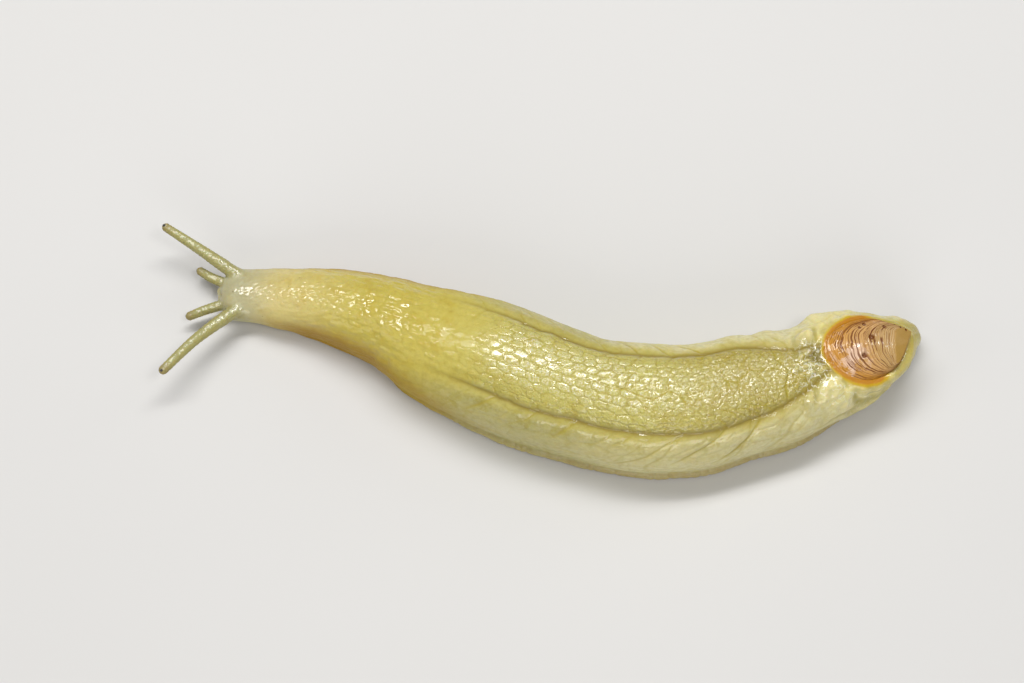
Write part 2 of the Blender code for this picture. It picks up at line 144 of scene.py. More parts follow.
SHELL_EDGE_LEVEL = 0.07
# Rings of the underside: which ring of the face each lies under, and how deep.
SHELL_UNDERSIDE = ((-1, 0.10), (-8, 0.2), (-90, 0.25), (40, 0.3))
OUTLINE_STEPS = 40
EDGE_POINTS = 240
# Main growth lines: share of the shell's length from the apex, the height of the step down, how dark it is.
GROWTH_LINES = (
    (0.22, 0.04, 0.1), (0.26, 0.04, 0.3), (0.295, 0.05, 0.9), (0.33, 0.04, 0.4), (0.365, 0.05, 0.7),
    (0.40, 0.05, 1.0), (0.44, 0.04, 0.5), (0.48, 0.07, 1.0), (0.52, 0.05, 1.0), (0.56, 0.04, 0.5),
    (0.61, 0.05, 0.6), (0.66, 0.04, 0.5), (0.71, 0.04, 0.8), (0.75, 0.04, 1.0), (0.785, 0.04, 0.9),
    (0.82, 0.04, 1.0), (0.85, 0.03, 0.9), (0.88, 0.04, 1.0), (0.91, 0.03, 1.0), (0.94, 0.03, 1.0),
    (0.965, 0.03, 0.9), (0.985, 0.02, 0.8),
)
# Pits in the shell's face: l, w, radius, depth.
SHELL_PITS = (
    (0.12, 0.74, 0.22, 0.22),
    (-0.87, -0.63, 0.20, 0.24),
    (0.05, 2.03, 0.15, 0.14),
    (-0.45, 1.80, 0.13, 0.12),
    (1.50, 1.45, 0.14, 0.13),
    (-0.55, 0.25, 0.18, 0.08),
    (-1.70, 0.35, 0.20, 0.07),
    (3.35, 0.92, 0.10, 0.13),
    (2.95, 1.22, 0.08, 0.13),
    (2.55, 1.52, 0.07, 0.13),
)
# The mantle's section, from low outside over its lip to under the shell: share of the lip, more width, level.
MANTLE_SECTION = (
    (0.2, -1.9, -3.0), (0.5, -0.9, -2.3), (0.9, -0.2, -1.5), (1.0, 0.12, -0.85), (1.0, 0.10, -0.40),
    (0.95, 0.0, -0.10), (0.75, 0.0, 0.04), (0.4, 0.0, 0.10), (0.1, 0.0, 0.11), (0.0, -0.05, 0.07),
    (0.0, -0.10, -0.05), (0.0, -0.14, -0.50), (0.0, -1.2, -0.62),
)
MANTLE_AROUND = 160
MANTLE_FRONT = (20.5, 21.5)

# Tentacles: each row is a place along one and the radius there. The root is inside the head.
TENTACLES = {
    "upper_tentacle_right": (
        (-23.5, 6.05, 1.90, 0.56),
        (-25.1, 6.75, 2.45, 0.55),
        (-28.0, 8.55, 3.25, 0.42),
        (-30.75, 10.20, 4.0, 0.33),
    ),
    "upper_tentacle_left": (
        (-23.5, 4.20, 1.90, 0.56),
        (-25.1, 3.45, 2.45, 0.55),
        (-28.0, 0.95, 3.25, 0.42),
        (-30.55, -1.95, 4.0, 0.36),
    ),
    "lower_tentacle_right": (
        (-24.6, 5.55, 1.80, 0.44),
        (-27.0, 6.55, 1.70, 0.38),
        (-28.1, 7.25, 1.50, 0.33),
    ),
    "lower_tentacle_left": (
        (-24.6, 4.75, 1.80, 0.44),
        (-27.4, 3.90, 1.70, 0.38),
        (-28.85, 3.38, 1.50, 0.34),
    ),
}
TENTACLE_STEPS = 24
TENTACLE_FULLNESS = 1.07
TENTACLE_SIDES = 24
TIP_DEGREES = (20, 40, 60, 75, 86)
# Where the tentacles run into the head: row of the tentacle, shift to the rear, reach.
ROOT_JOINS = {"upper": (1, 0.3, 1.54), "lower": (0, -1.2, 0.75)}
LIPS = ((1.78, 0.68, 0.28), (1.36, 0.60, 0.20))
LIP_REACH = 0.40
LIP_SET_BACK = 0.12
EYE_RADIUS = 0.125
EYE_AHEAD = 0.42
EYE_ABOVE = 0.62

# The skin is remeshed at this size, then relaxed, before its relief is pressed in.
SKIN_VOXEL = 0.08
EVEN_OUT = (0.55, -0.57) * 5
ROUND_OFF = 0.5
ROUND_OFF_REACH = 0.55

# Net of tubercles on the back: a cell's length and how proud it stands at places along the body.
NET_PLACES = (0, 8, 14, 20, 23, 26, 32, 38, 44, 50, 54, 60)
NET_LENGTHS = (0.55, 0.70, 1.05, 1.25, 1.30, 1.30, 1.20, 1.00, 0.80, 0.70, 0.65, 0.60)
NET_RELIEF = (0.018, 0.055, 0.055, 0.012, 0.040, 0.080, 0.085, 0.075, 0.070, 0.065, 0.050, 0.015)
NET_ROW = math.radians(7.3)
NET_HALF_LEAST = 1.5
FINE_CELL = 0.62
WIDE_CELL = 2.9

# Stretches of the body in millimetres from the snout: each starts, is full, fades and ends.
FURROW_SPAN = (18, 26, 49, 54)
BEAD_SPAN = (13, 17, 23, 27)
CREASE_SPAN = (38, 44, 52.5, 55)
GROUP_SPAN = (30, 36, 50, 54)
# The last two place the painted highlights on the tubercles' tops.
GLINT_TOP_SPAN = (22, 26, 48, 56)
STRONG_GLINT_SPAN = (21, 25, 33, 38)

# Waves in the skin: height, waves to a millimetre along the body, their lean, waves over the body, seed.
CRUMPLE = ((0.018, 3.2, 0, 4.4, 61), (0.014, 6, 0, 7, 62))
FOLDS = ((0.05, 0.5, 0, 0.6, 71), (0.02, 1.7, 0, 1.5, 72))
UPPER_FOLDS = ((0.11, 0.66, -0.25, 0.22, 85),)
NECK_WRINKLES = ((0.038, 1.2, 0.8, 3.2, 73), (0.021, 2.6, -1.5, 5.5, 74))

# Lines and small forms of the skin.
CREASE_PITCH = 1.45
CREASE_WIDTH = 0.10
CREASE_DEPTH = 0.11
GROUP_WIDTH = 0.07
GROUP_DEPTH = 0.07
BEAD_HEIGHT = 0.05
NOTCH_PITCH = 0.62
NOTCH_WIDTH = 0.12
NOTCH_DEPTH = 0.07
RING_PITCH = 0.26
RING_HEIGHT = 0.014
MOUTH = (-26.5, 4.95)
MOUTH_WIDTH = 0.30
MOUTH_DEPTH = 0.16
WET_MIDDLE = (22.6, -2.6)
WET_LONG = 1.5
WET_REACH = 2.4

# Soft swellings and dips of the skin round the mantle: x, y, radius, height.
MANTLE_LUMPS = (
    (22.5, 1.45, 0.50, 0.24),
    (23.4, 1.95, 0.45, 0.26),
    (24.4, 2.20, 0.42, 0.20),
    (21.5, 0.75, 0.55, 0.18),
    (21.9, 2.35, 0.75, 0.32),
    (23.4, 2.95, 0.80, 0.36),
    (25.0, 3.05, 0.90, 0.15),
    (22.3, 0.10, 0.40, 0.14),
    (23.6, -3.60, 0.50, 0.22),
    (24.6, -4.05, 0.50, 0.26),
    (25.7, -4.00, 0.48, 0.24),
    (26.8, -3.55, 0.45, 0.20),
    (27.9, -2.90, 0.40, 0.14),
    (22.0, -1.70, 0.75, -0.26),
    (22.4, -0.90, 0.55, -0.18),
    (21.0, -0.50, 0.60, -0.10),
)


def smooth(low, high, value):
    """Eased step from 0 at low to 1 at high."""
    share = np.clip((value - low) / (high - low), 0.0, 1.0)
    return share * share * (3 - 2 * share)


def hump(value, width):
    """1 at zero, falling off softly over this width."""
    return np.exp(-((value / width) ** 2))


def stretch(value, start, full, fading, end):
    """1 between full and fading, easing to 0 at start and at end."""
    return smooth(start, full, value) * smooth(end, fading, value)


def unit(vectors):
    """The same directions with a length of 1."""
    return vectors / np.linalg.norm(vectors, axis=-1, keepdims=True)


def lengths_along(line):
    """Distance along a line of points, from its first to each."""
    return np.concatenate([[0], np.cumsum(np.linalg.norm(np.diff(line, axis=0), axis=1))])


def nearest_line(place, pitch):
    """Number of the nearest of evenly spaced lines, and the distance from it. The place counts in lines."""
    number = np.round(place)
    return number, (place - number) * pitch


def through(rows, per_span, closed=False):
    """A smooth curve through the rows, each a tuple of any length."""
    points = np.array(rows, float)
    count = len(points)
    made = []
    for i in range(count if closed else count - 1):
        if closed:
            a, b, c, d = (points[(i + k) % count] for k in (-1, 0, 1, 2))
        else:
            b, c = points[i], points[i + 1]
            a = points[i - 1] if i else 2 * b - c
            d = points[i + 2] if i + 2 < count else 2 * c - b
        for k in range(per_span):
            t = k / per_span
            bend = (2 * a - 5 * b + 4 * c - d) * t**2 + (3 * b - a - 3 * c + d) * t**3
            made.append(0.5 * (2 * b + (c - a) * t + bend))
    if not closed:
        made.append(points[-1])
    return np.array(made)


def chance(one, two, seed):
    """A repeatable random number from 0 to 1 for each place of a lattice."""
    value = np.sin(one * 127.1 + two * 311.7 + seed * 74.7) * 43758.5453
    return value - np.floor(value)


def ripple(one, two, seed):
    """Smooth random waves from -1 to 1 over a plane, one wave to each unit."""
    left, low = np.floor(one), np.floor(two)
    across, up = one - left, two - low
    across = across * across * (3 - 2 * across)
    up = up * up * (3 - 2 * up)
    bottom = chance(left, low, seed) * (1 - across) + chance(left + 1, low, seed) * across
    top = chance(left, low + 1, seed) * (1 - across) + chance(left + 1, low + 1, seed) * across
    return 2 * (bottom * (1 - up) + top * up) - 1


SPINE = through(STATIONS, SAMPLES_PER_SPAN)
ALONG = lengths_along(SPINE[:, :2])
LENGTH = float(ALONG[-1])
HEADING = np.unwrap(np.arctan2(np.gradient(SPINE[:, 1], ALONG), np.gradient(SPINE[:, 0], ALONG)))


def spine(at):
    """Middle line's x, y, half width, height, foot's half width and heading at distances from the snout."""
    row = [np.interp(at, ALONG, SPINE[:, k]) for k in range(5)]
    return *row, np.interp(at, ALONG, HEADING)


def rounding(distance, length):
    """How full a rounded end is at this distance from its tip."""
    share = np.clip(distance / length, 0.0, 1.0)
    return (1 - (1 - share) ** END_POWER) ** (1 / END_POWER)


def cross_section(at):
    """The body's half width, the height of its back and the level where it is widest."""
    _, _, half, height, _, _ = spine(at)
    full = rounding(at, SNOUT_ROUND) * rounding(LENGTH - at, TAIL_ROUND)
    rest = np.where(at < LENGTH / 2, SNOUT_Z, TAIL_Z)
    top = rest + (height - rest) * full
    return half * full, top, BODY_FLOOR + (top - BODY_FLOOR) * FLANK_LEVEL


def groove_angle(at):
    """Angle from the top of the back at which a long groove lies."""
    return GROOVE_ANGLE + (GROOVE_ANGLE_AT_SHELL - GROOVE_ANGLE) * smooth(*GROOVE_MEET, at)


# Building meshes from arrays of points


def loft(rings):
    """Points and faces of a closed body through rings of points."""
    rings = np.array(rings, float)
    rows, count = rings.shape[:2]
    place = np.arange(rows * count).reshape(rows, count)
    one, two = place[:-1], place[1:]
    quads = np.stack([one, np.roll(one, -1, axis=1), np.roll(two, -1, axis=1), two], axis=-1).reshape(-1, 4)
    faces = quads.tolist()
    middles = [rings[0].mean(axis=0), rings[-1].mean(axis=0)]
    for middle, row in ((rows * count, place[0][::-1]), (rows * count + 1, place[-1])):
        faces += [[int(row[k]), int(row[(k + 1) % count]), middle] for k in range(count)]
    return np.vstack([rings.reshape(-1, 3), middles]), faces


def together(parts):
    """One list of points and faces from several."""
    points, faces, first = [], [], 0
    for some, its_faces in parts:
        points.append(some)
        faces += [[k + first for k in face] for face in its_faces]
        first += len(some)
    return np.vstack(points), faces


def put(name, data):
    """A new object of the scene."""
    made = bpy.data.objects.new(name, data)
    bpy.context.scene.collection.objects.link(made)
    return made


def new_object(name, points, faces):
    data = bpy.data.meshes.new(name)
    data.from_pydata(points.tolist(), [], faces)
    data.update()
    return put(name, data)


def vectors_of(rows, name):
    """The vector of each row of a mesh's points or normals."""
    flat = np.empty(len(rows) * 3, np.float32)
    rows.foreach_get(name, flat)
    return flat.reshape(-1, 3).astype(float)


def set_points(data, points):
    data.vertices.foreach_set("co", points.astype(np.float32).ravel())
    data.update()


def keep_mask(data, name, values):
    """Stores a value at each point of a mesh, which its material reads by name."""
    data.attributes.new(name, "FLOAT", "POINT").data.foreach_set("value", values.astype(np.float32))


def relax(data, amounts, share=1.0):
    """Moves each point towards the middle of its neighbours, once for each amount. A minus pushes it back,
    which keeps the size. share, a number for each point, says where."""
    points = vectors_of(data.vertices, "co")
    ends = np.empty(len(data.edges) * 2, np.int32)
    data.edges.foreach_get("vertices", ends)
    one, two = ends.reshape(-1, 2).T
    count = len(points)
    met = np.bincount(one, minlength=count) + np.bincount(two, minlength=count)
    share = np.broadcast_to(share, count)[:, None]
    total = np.empty(points.shape)
    for amount in amounts:
        for k in range(3):
            total[:, k] = np.bincount(one, points[two, k], count) + np.bincount(two, points[one, k], count)
        points += amount * share * (total / met[:, None] - points)
    set_points(data, points)


# The smooth body under the relief


def shell_matrix():
    """Places the shell's own frame (l, w and up) in the model."""
    turn = Matrix.Rotation(SHELL_HEADING, 4, "Z") @ Matrix.Rotation(SHELL_PITCH, 4, "Y")
    return Matrix.Translation(SHELL_CENTRE) @ turn


def to_shell(points):
    """Points of the model in the shell's frame."""
    back = np.array(shell_matrix().inverted())
    return points @ back[:3, :3].T + back[:3, 3]


def from_shell(points):
    """Points of the shell's frame in the model."""
    out = np.array(shell_matrix())
    return points @ out[:3, :3].T + out[:3, 3]


def shell_edge(count):
    """Points round the shell's edge from the apex, in its own frame, the way outward and the lip's width."""
    dense = through(SHELL_OUTLINE, OUTLINE_STEPS, closed=True)
    dense = np.vstack([dense, dense[:1]])
    along = lengths_along(dense[:, :2])
    at = np.linspace(0, along[-1], count, endpoint=False)
    row = np.stack([np.interp(at, along, dense[:, k]) for k in range(3)], axis=1)
    line = row[:, :2]
    step = np.roll(line, 1, axis=0) - np.roll(line, -1, axis=0)
    return line, unit(np.stack([step[:, 1], -step[:, 0]], axis=1)), row[:, 2]


def off_shell(places):
    """Distance outside the shell's edge, or a minus inside it, seen square on, and the lip's width there."""
    line, outward, lip = shell_edge(EDGE_POINTS)
    away = np.full(len(places), 1e9)
    width = np.zeros(len(places))
    for point, direction, its_lip in zip(line, outward, lip):
        gap = places[:, :2] - point
        distance = np.hypot(gap[:, 0], gap[:, 1])
        near = distance < np.abs(away)
        side = np.where(gap @ direction >= 0, 1.0, -1.0)
        away = np.where(near, distance * side, away)
        width = np.where(near, its_lip, width)
    return away, width


def body_base():
    """The back and flanks as one smooth body, hollowed where the shell lies."""
    at = np.linspace(END_CAP, LENGTH - END_CAP, BODY_RINGS)[:, None]
    angle = np.pad(np.radians(np.linspace(-90, 90, BACK_POINTS)), TUCK_POINTS, mode="edge")
    tuck = np.linspace(0, 1, TUCK_POINTS + 1)[1:]
    tuck = np.concatenate([tuck[::-1], np.zeros(BACK_POINTS), tuck])
    x, y, _, _, _, heading = spine(at)
    half, top, level = cross_section(at)
    across = half * np.sin(angle) * (1 - TUCK * tuck**2)
    up = np.where(tuck > 0, level - (level - SKIN_FLOOR) * tuck, level + (top - level) * np.cos(angle))
    rings = np.stack([x - np.sin(heading) * across, y + np.cos(heading) * across, up], axis=-1)
    places = to_shell(rings.reshape(-1, 3))
    away, lip = off_shell(places)
    slope = HOLLOW_RIM + HOLLOW_RISE * smooth(0.0, HOLLOW_REACH, away - lip)
    ceiling = np.where(away < lip / 2, HOLLOW_FLOOR, slope)
    near = (places[:, 2] > ceiling) & (away < HOLLOW_REACH + lip) & (places[:, 2] > HOLLOW_LOWEST)
    places[near, 2] = ceiling[near]
    return loft(from_shell(places).reshape(rings.shape))


def foot_base():
    """The foot: a flat sole with its thin edge all round."""
    at = np.linspace(FOOT_FRONT + END_CAP, LENGTH - FOOT_BACK - END_CAP, FOOT_RINGS)[:, None]
    x, y, _, _, half, heading = spine(at)
    half = half * rounding(at - FOOT_FRONT, FOOT_ROUND) * rounding(LENGTH - FOOT_BACK - at, FOOT_TAIL_ROUND)
    edge = np.array([*FOOT_EDGE, *((-out, up) for out, up in reversed(FOOT_EDGE))])
    out = edge[:, 0] * half
    up = edge[:, 1] * FOOT_THICK + 0 * out
    return loft(np.stack([x - np.sin(heading) * out, y + np.cos(heading) * out, up], axis=-1))


def mantle_base():
    """The saucer of flesh round the shell, its lip against the shell's edge, and the swelling under it."""
    line, outward, lip = shell_edge(MANTLE_AROUND)
    rings = []
    for share, extra, up in MANTLE_SECTION:
        moved = line + outward * (lip * share + extra)[:, None]
        rings.append(from_shell(np.column_stack([moved, np.full(len(moved), up)])))
    return loft(rings)


def tentacle_line(name):
    """Points and radii along a tentacle, ending in its rounded tip."""
    rows = through(TENTACLES[name], TENTACLE_STEPS)
    rows[:, 3] *= TENTACLE_FULLNESS
    tip, radius = rows[-1, :3], rows[-1, 3]
    turn = np.radians(TIP_DEGREES)[:, None]
    ahead = unit(tip - rows[-2, :3]) * radius * np.sin(turn)
    return np.vstack([rows, np.hstack([tip + ahead, radius * np.cos(turn)])])


def tentacle_base(name):
    """One tentacle as a round tube."""
    rows = tentacle_line(name)
    ahead = unit(np.gradient(rows[:, :3], axis=0))
    side = unit(np.cross(ahead, (0, 0, 1.0)))
    up = np.cross(side, ahead)
    turn = np.linspace(0, 2 * math.pi, TENTACLE_SIDES, endpoint=False)[None, :, None]
    ring = side[:, None] * np.cos(turn) + up[:, None] * np.sin(turn)
    return loft(rows[:, None, :3] + ring * rows[:, None, 3:])


def eye_place(name):
    """Middle of an eye, in the upper front of its tentacle's round tip, and the way ahead there."""
    rows = tentacle_line(name)[: -len(TIP_DEGREES)]
    tip, radius = rows[-1, :3], rows[-1, 3]
    ahead = unit(tip - rows[-2, :3])
    return tip + ahead * radius * EYE_AHEAD + np.array((0, 0, radius * EYE_ABOVE)), ahead


def ball(rows, count, last_degrees):
    """Directions over a ball, in rings from near its bottom to near its top."""
    up = np.radians(np.linspace(-last_degrees, last_degrees, rows))[:, None]
    turn = np.linspace(0, 2 * math.pi, count, endpoint=False)
    return np.stack([np.cos(up) * np.cos(turn), np.cos(up) * np.sin(turn), np.sin(up) + 0 * turn], axis=-1)


def lip_base(height, half_width, half_height):
    """One lip: a flattened ball across the front of the snout."""
    x, y, _, _, _, heading = (float(value) for value in spine(0.0))
    ahead, side, rise = np.moveaxis(ball(13, 28, 86), -1, 0)
    ahead = ahead * LIP_REACH + LIP_SET_BACK
    side = side * half_width
    out_x = x + math.cos(heading) * ahead - math.sin(heading) * side
    out_y = y + math.sin(heading) * ahead + math.cos(heading) * side
    return loft(np.stack([out_x, out_y, rise * half_height + height], axis=-1))


def smooth_skin():
    """The whole animal's skin as one even mesh, with no relief yet."""
    parts = [body_base(), foot_base(), mantle_base()]
    parts += [tentacle_base(name) for name in TENTACLES]
    parts += [lip_base(*lip) for lip in LIPS]
    rough = new_object("rough_skin", *together(parts))
    change = rough.modifiers.new("Even", "REMESH")
    change.mode = "VOXEL"
    change.voxel_size = SKIN_VOXEL
    bpy.context.view_layer.update()
    data = bpy.data.meshes.new_from_object(rough.evaluated_get(bpy.context.evaluated_depsgraph_get()))
    bpy.data.objects.remove(rough)
    skin = put("skin", data)
    relax(data, EVEN_OUT)
    rounds = round((ROUND_OFF_REACH / SKIN_VOXEL) ** 2)
    relax(data, (ROUND_OFF,) * rounds, joins(vectors_of(data.vertices, "co")))
    return skin


def joins(points):
    """1 where forms should run into each other: the tentacles' roots and the mantle's outer edge."""
    share = np.zeros(len(points))
    for name, rows in TENTACLES.items():
        row, shift, reach = ROOT_JOINS[name.split("_")[0]]
        away = np.linalg.norm(points - np.array(rows[row][:3]) - (shift, 0, 0), axis=1)
        share = np.maximum(share, smooth(reach, reach * 0.55, away))
    places = to_shell(points)
    away, lip = off_shell(places)
    edge = smooth(0.55, 0.95, away / lip) * smooth(2.0, 0.9, away - lip) * smooth(-4.0, -2.5, places[:, 2])
    return np.maximum(share, edge * smooth(20.0, 21.5, points[:, 0]))


# Where each point of the skin lies on the body


class BodyPlaces:
    """Where each point of the skin lies: along the body, round it, over it, by the shell, on a tentacle."""

    def __init__(self, points):
        self.x, self.y, self.z = points.T
        nearest = np.empty(len(points), int)
        for some in np.array_split(np.arange(len(points)), 60):
            gap = points[some, None, :2] - SPINE[None, :, :2]
            nearest[some] = (gap**2).sum(axis=2).argmin(axis=1)
        self.at = ALONG[nearest]
        for _ in range(2):
            x, y, _, _, self.foot_half, heading = spine(self.at)
            off_x, off_y = self.x - x, self.y - y
            self.at = np.clip(self.at + off_x * np.cos(heading) + off_y * np.sin(heading), 0.0, LENGTH)
        self.side = off_y * np.cos(heading) - off_x * np.sin(heading)
        self.sign = np.sign(self.side)
        self.half, top, level = cross_section(self.at)
        rise = np.maximum(self.z - level, 0.0) / np.maximum(top - level, 0.2)
        self.angle = np.arctan2(self.side / np.maximum(self.half, 0.2), rise)
        below = np.maximum(level - self.z, 0.0)
        arc = (self.half + top - level) / 2
        groove = groove_angle(self.at)
        self.over = np.abs(self.angle) * arc + below
        self.off_groove = (np.abs(self.angle) - groove) * arc + below
        self.ring = self._ring(groove, np.clip(below / np.maximum(level - BODY_FLOOR, 0.3), 0, 1))
        self.inner = smooth(0.1, -0.5, self.off_groove)
        self.front = smooth(24, 14, self.at)
        self.rear = smooth(17, 21.5, self.x)
        self.finer = smooth(35.0, 40.0, self.at + 1.5 * ripple(self.at * 0.5, self.over * 0.7, 59))
        self.tentacle, self.from_tip = tentacle_places(points)
        wet_off = np.hypot((self.x - WET_MIDDLE[0]) / WET_LONG, self.y - WET_MIDDLE[1])
        self.wet = self.rear * hump(wet_off, WET_REACH)
        self._by_shell(points)

    def _ring(self, groove, tuck):
        """Distance along the body of the leaning ring that each point lies on."""
        size = np.abs(self.angle)
        share = np.clip((size - groove) / (math.pi / 2 - groove), 0, 1)
        flank = LEAN_FLANK * (0.78 * share + 0.22 * tuck)
        back = LEAN_BACK * (1 - np.clip(size / groove, 0, 1))
        lean = np.where(size < groove, back, flank)
        ring = self.at
        for _ in range(4):
            ring = self.at + smooth(*LEAN_RISE, ring) * (1 - smooth(*LEAN_FALL, ring)) * lean
        return ring

    def _by_shell(self, points):
        """Places in the shell's frame, distances off its edge and off the lip, and the zone of pillows."""
        self.l, self.w, self.up = to_shell(points).T
        self.off_edge, lip = off_shell(np.stack([self.l, self.w], axis=1))
        self.off_lip = self.off_edge - lip
        self.at_mantle = smooth(*MANTLE_FRONT, self.x)
        ahead = smooth(2.2, 0.6, self.l - 1.5 * smooth(0.0, -2.0, self.w)) * smooth(3.3, 2.3, self.w)
        ring = self.rear * stretch(self.off_lip, 0.05, 0.35, 1.4, 3.6)
        self.by_mantle = ring * ahead * smooth(1.4, 3.0, self.z)

    def waves(self, rows):
        """Height of several families of waves together."""
        height = 0.0
        for rise, along, lean, over, seed in rows:
            height = height + rise * ripple(self.at * along + self.over * lean, self.over * over, seed)
        return height


def tentacle_places(points):
    """Which points lie on a tentacle (0 to 1), and how far along it they are from its tip."""
    on = np.zeros(len(points))
    from_tip = np.full(len(points), 9.0)
    close = np.where(points[:, 0] < -24.0)[0]
    for name in TENTACLES:
        rows = tentacle_line(name)
        run = lengths_along(rows[:, :3])
        gap = np.linalg.norm(points[close, None, :] - rows[None, :, :3], axis=2) - rows[None, :, 3]
        nearest = gap.argmin(axis=1)
        share = smooth(0.15, 0.0, gap.min(axis=1)) * smooth(0.9, 2.4, run[nearest])
        better = share > on[close]
        on[close[better]] = share[better]
        from_tip[close[better]] = run[-1] - run[nearest[better]]
    return on, from_tip


# Relief of the skin: each function gives heights in millimetres, lines from 0 to 1, or both


def groove_cut(body):
    """Depth of the two long grooves, which wander a little, and their lines."""
    wander = 0.10 * ripple(body.at * 0.45, body.sign * 5.0, 3)
    wander += 0.05 * ripple(body.at * 1.6, body.sign * 9.0, 4)
    off = body.off_groove + wander
    strength = smooth(*GROOVE_START, body.at) * smooth(0, GROOVE_FADE, LENGTH - body.at)
    return (0.05 * hump(off, 0.15) + 0.19 * hump(off, 0.52)) * strength, hump(off, 0.20) * strength


def furrow_cut(body, seed, pitch, lean_more, width, depth):
    """Depth of one family of oblique furrows, each with its own strength and reach, and their lines."""
    side = np.where(body.side > 0, 1.0, 2.0)
    bend = 0.75 * ripple(body.ring * 0.22, body.over * 0.33 + side * 17, seed)
    bend += 0.18 * ripple(body.ring * 0.9, body.over * 0.9 + side * 11, seed + 1)
    place = (body.ring + bend + lean_more * body.over - FURROW_FIRST) / pitch
    number, off = nearest_line(place, pitch)
    own = chance(number, side, seed + 5)
    inner = 0.75 * smooth(0.8 + 2.8 * own, 0.1, -body.off_groove)
    reach = np.where(body.off_groove > 0, smooth(-0.05, 0.35, body.off_groove), inner)
    reach = reach * smooth(1.2 + 5.5 * own, 0.3 + 4.0 * own, body.off_groove)
    strength = (0.35 + 0.65 * chance(number, side, seed + 9)) * reach * stretch(body.ring, *FURROW_SPAN)
    narrow = hump(off, width)
    return depth * 0.6 * (narrow + hump(off, width * 4)) * strength, narrow * strength


def net_cells(body, seed, size):
    """Each point's distance from its cell's border, the cell's tilt there and its own random number. The
    cells are jittered, laid like bricks in rows along the body, and this much larger than a tubercle."""
    fine_at = np.linspace(0, LENGTH, 600)
    length = np.interp(fine_at, NET_PLACES, NET_LENGTHS)
    count = np.concatenate([[0], np.cumsum(np.diff(fine_at) / length[:-1])])
    at, over, angle = body.at, body.over, body.angle
    half = np.maximum(body.half, NET_HALF_LEAST)
    loose = 0.35 + 0.65 * smooth(33.0, 40.0, at) + 0.65 * smooth(22.0, 16.0, at)
    leaned = at + 0.45 * (body.ring - at) + 0.25 * ripple(at * 0.5, angle * 4, seed)
    a = np.interp(leaned, fine_at, count) / size
    a += 0.25 * loose * ripple(at * 0.8 / size, over * 1.1 / size, seed + 4)
    b = over * body.sign / half / NET_ROW / size
    b += 0.30 * loose * ripple(at * 0.9 / size, angle * 6 / size, seed + 1)
    cells = []
    for row_step in (-1, 0, 1):
        row = np.floor(b) + row_step
        shift = 0.5 * np.mod(row, 2)
        for column_step in (-1, 0, 1):
            column = np.floor(a - shift) + column_step
            x = column + shift + 0.5 + 0.74 * loose * (chance(column, row, seed + 2) - 0.5)
            y = row + 0.5 + 0.60 * loose * (chance(column, row, seed + 3) - 0.5)
            cells.append((np.hypot(x - a, y - b), x, y, column, row))
    cells = np.array(cells)
    nearest_two = cells[:, 0].argsort(axis=0)[:2, None]
    near, other = np.take_along_axis(cells, nearest_two, axis=0)
    off, x, y, column, row = near
    gap_x, gap_y = other[1] - x, other[2] - y
    apart = np.maximum(np.hypot(gap_x, gap_y), 1e-3)
    cell_length = np.interp(leaned, NET_PLACES, NET_LENGTHS) * size
    border = (other[0] ** 2 - off**2) / (2 * apart)
    border = border / np.hypot(gap_x / apart / cell_length, gap_y / apart / (NET_ROW * half * size))
    tilt = (chance(column, row, seed + 6) - 0.5) * (a - x) + (chance(column, row, seed + 7) - 0.5) * (b - y)
    return border, tilt, chance(column, row, seed + 8)


def net_strength(body):
    """How proud the tubercles stand: most between the grooves, less on the flanks, none on the fringe."""
    relief = np.interp(body.at, NET_PLACES, NET_RELIEF) * (1 - body.tentacle)
    flank = 0.16 + 0.84 * smooth(0.5, -0.7, body.off_groove)
    by_groove = 0.35 + 0.65 * smooth(0.12, 0.45, np.abs(body.off_groove))
    patchy = 0.75 + 0.35 * ripple(body.at * 0.33, body.angle * 3, 21)
    return relief * flank * by_groove * patchy * smooth(0.8, 1.6, body.z)


def tubercles(body):
    """The net of tubercles, rounder on the neck and finer at the rear, and the masks for the painted shade in
    its gaps and the painted highlights on its tops.
    """
    border, tilt, own = net_cells(body, 60, 1.0)
    fine_border, fine_tilt, fine_own = net_cells(body, 66, FINE_CELL)
    front, finer = body.front, body.finer
    strength = net_strength(body)
    flat_top = smooth(0.015, 0.10, border)
    fine_top = smooth(0.0, 0.12, fine_border)
    swell = flat_top * (1 - front) + smooth(0.0, 0.26, border) * front
    swell = swell * (1 - 0.75 * finer) + 0.75 * fine_top * finer
    tilt = tilt * (1 - finer) + 0.7 * fine_tilt * finer
    own = own * (1 - 0.7 * finer) + 0.7 * fine_own * finer
    height = strength * (swell - 1 + (0.55 + 0.75 * front) * tilt + 0.30 * (own - 0.5))
    bead = smooth(0.66, 0.80, own) * smooth(0.10, 0.30, border) * stretch(body.at, *BEAD_SPAN)
    # Where painted shade goes: the gaps between the tubercles.
    gap = (1 - flat_top) * (1 - front) * (1 - 0.6 * finer) + 0.7 * (1 - fine_top) * finer
    # Where the tops get painted highlights: a band along the top of the back, stronger on large cells.
    top = smooth(0.05, 0.16, border) * (1 - finer) + smooth(0.02, 0.12, fine_border) * finer
    top = top * stretch(body.at, *GLINT_TOP_SPAN) * smooth(0.55, 0.25, np.abs(body.angle - 0.05))
    top = top * (0.30 + 0.65 * own + 0.45 * stretch(body.at, *STRONG_GLINT_SPAN))
    masks = {"gap": gap * np.clip(strength / 0.06, 0, 1), "top": top}
    return height + BEAD_HEIGHT * bead * body.inner, masks


def cross_creases(body):
    """Lines of the creases across the rear of the back."""
    place = body.at / CREASE_PITCH + 0.75 * ripple(body.over * 0.8, body.at * 0.4, 63)
    line = hump(nearest_line(place, CREASE_PITCH)[1], CREASE_WIDTH) * stretch(body.at, *CREASE_SPAN)
    return line * body.inner * smooth(-0.35, 0.35, ripple(body.at * 0.9, body.side * 0.9, 65))


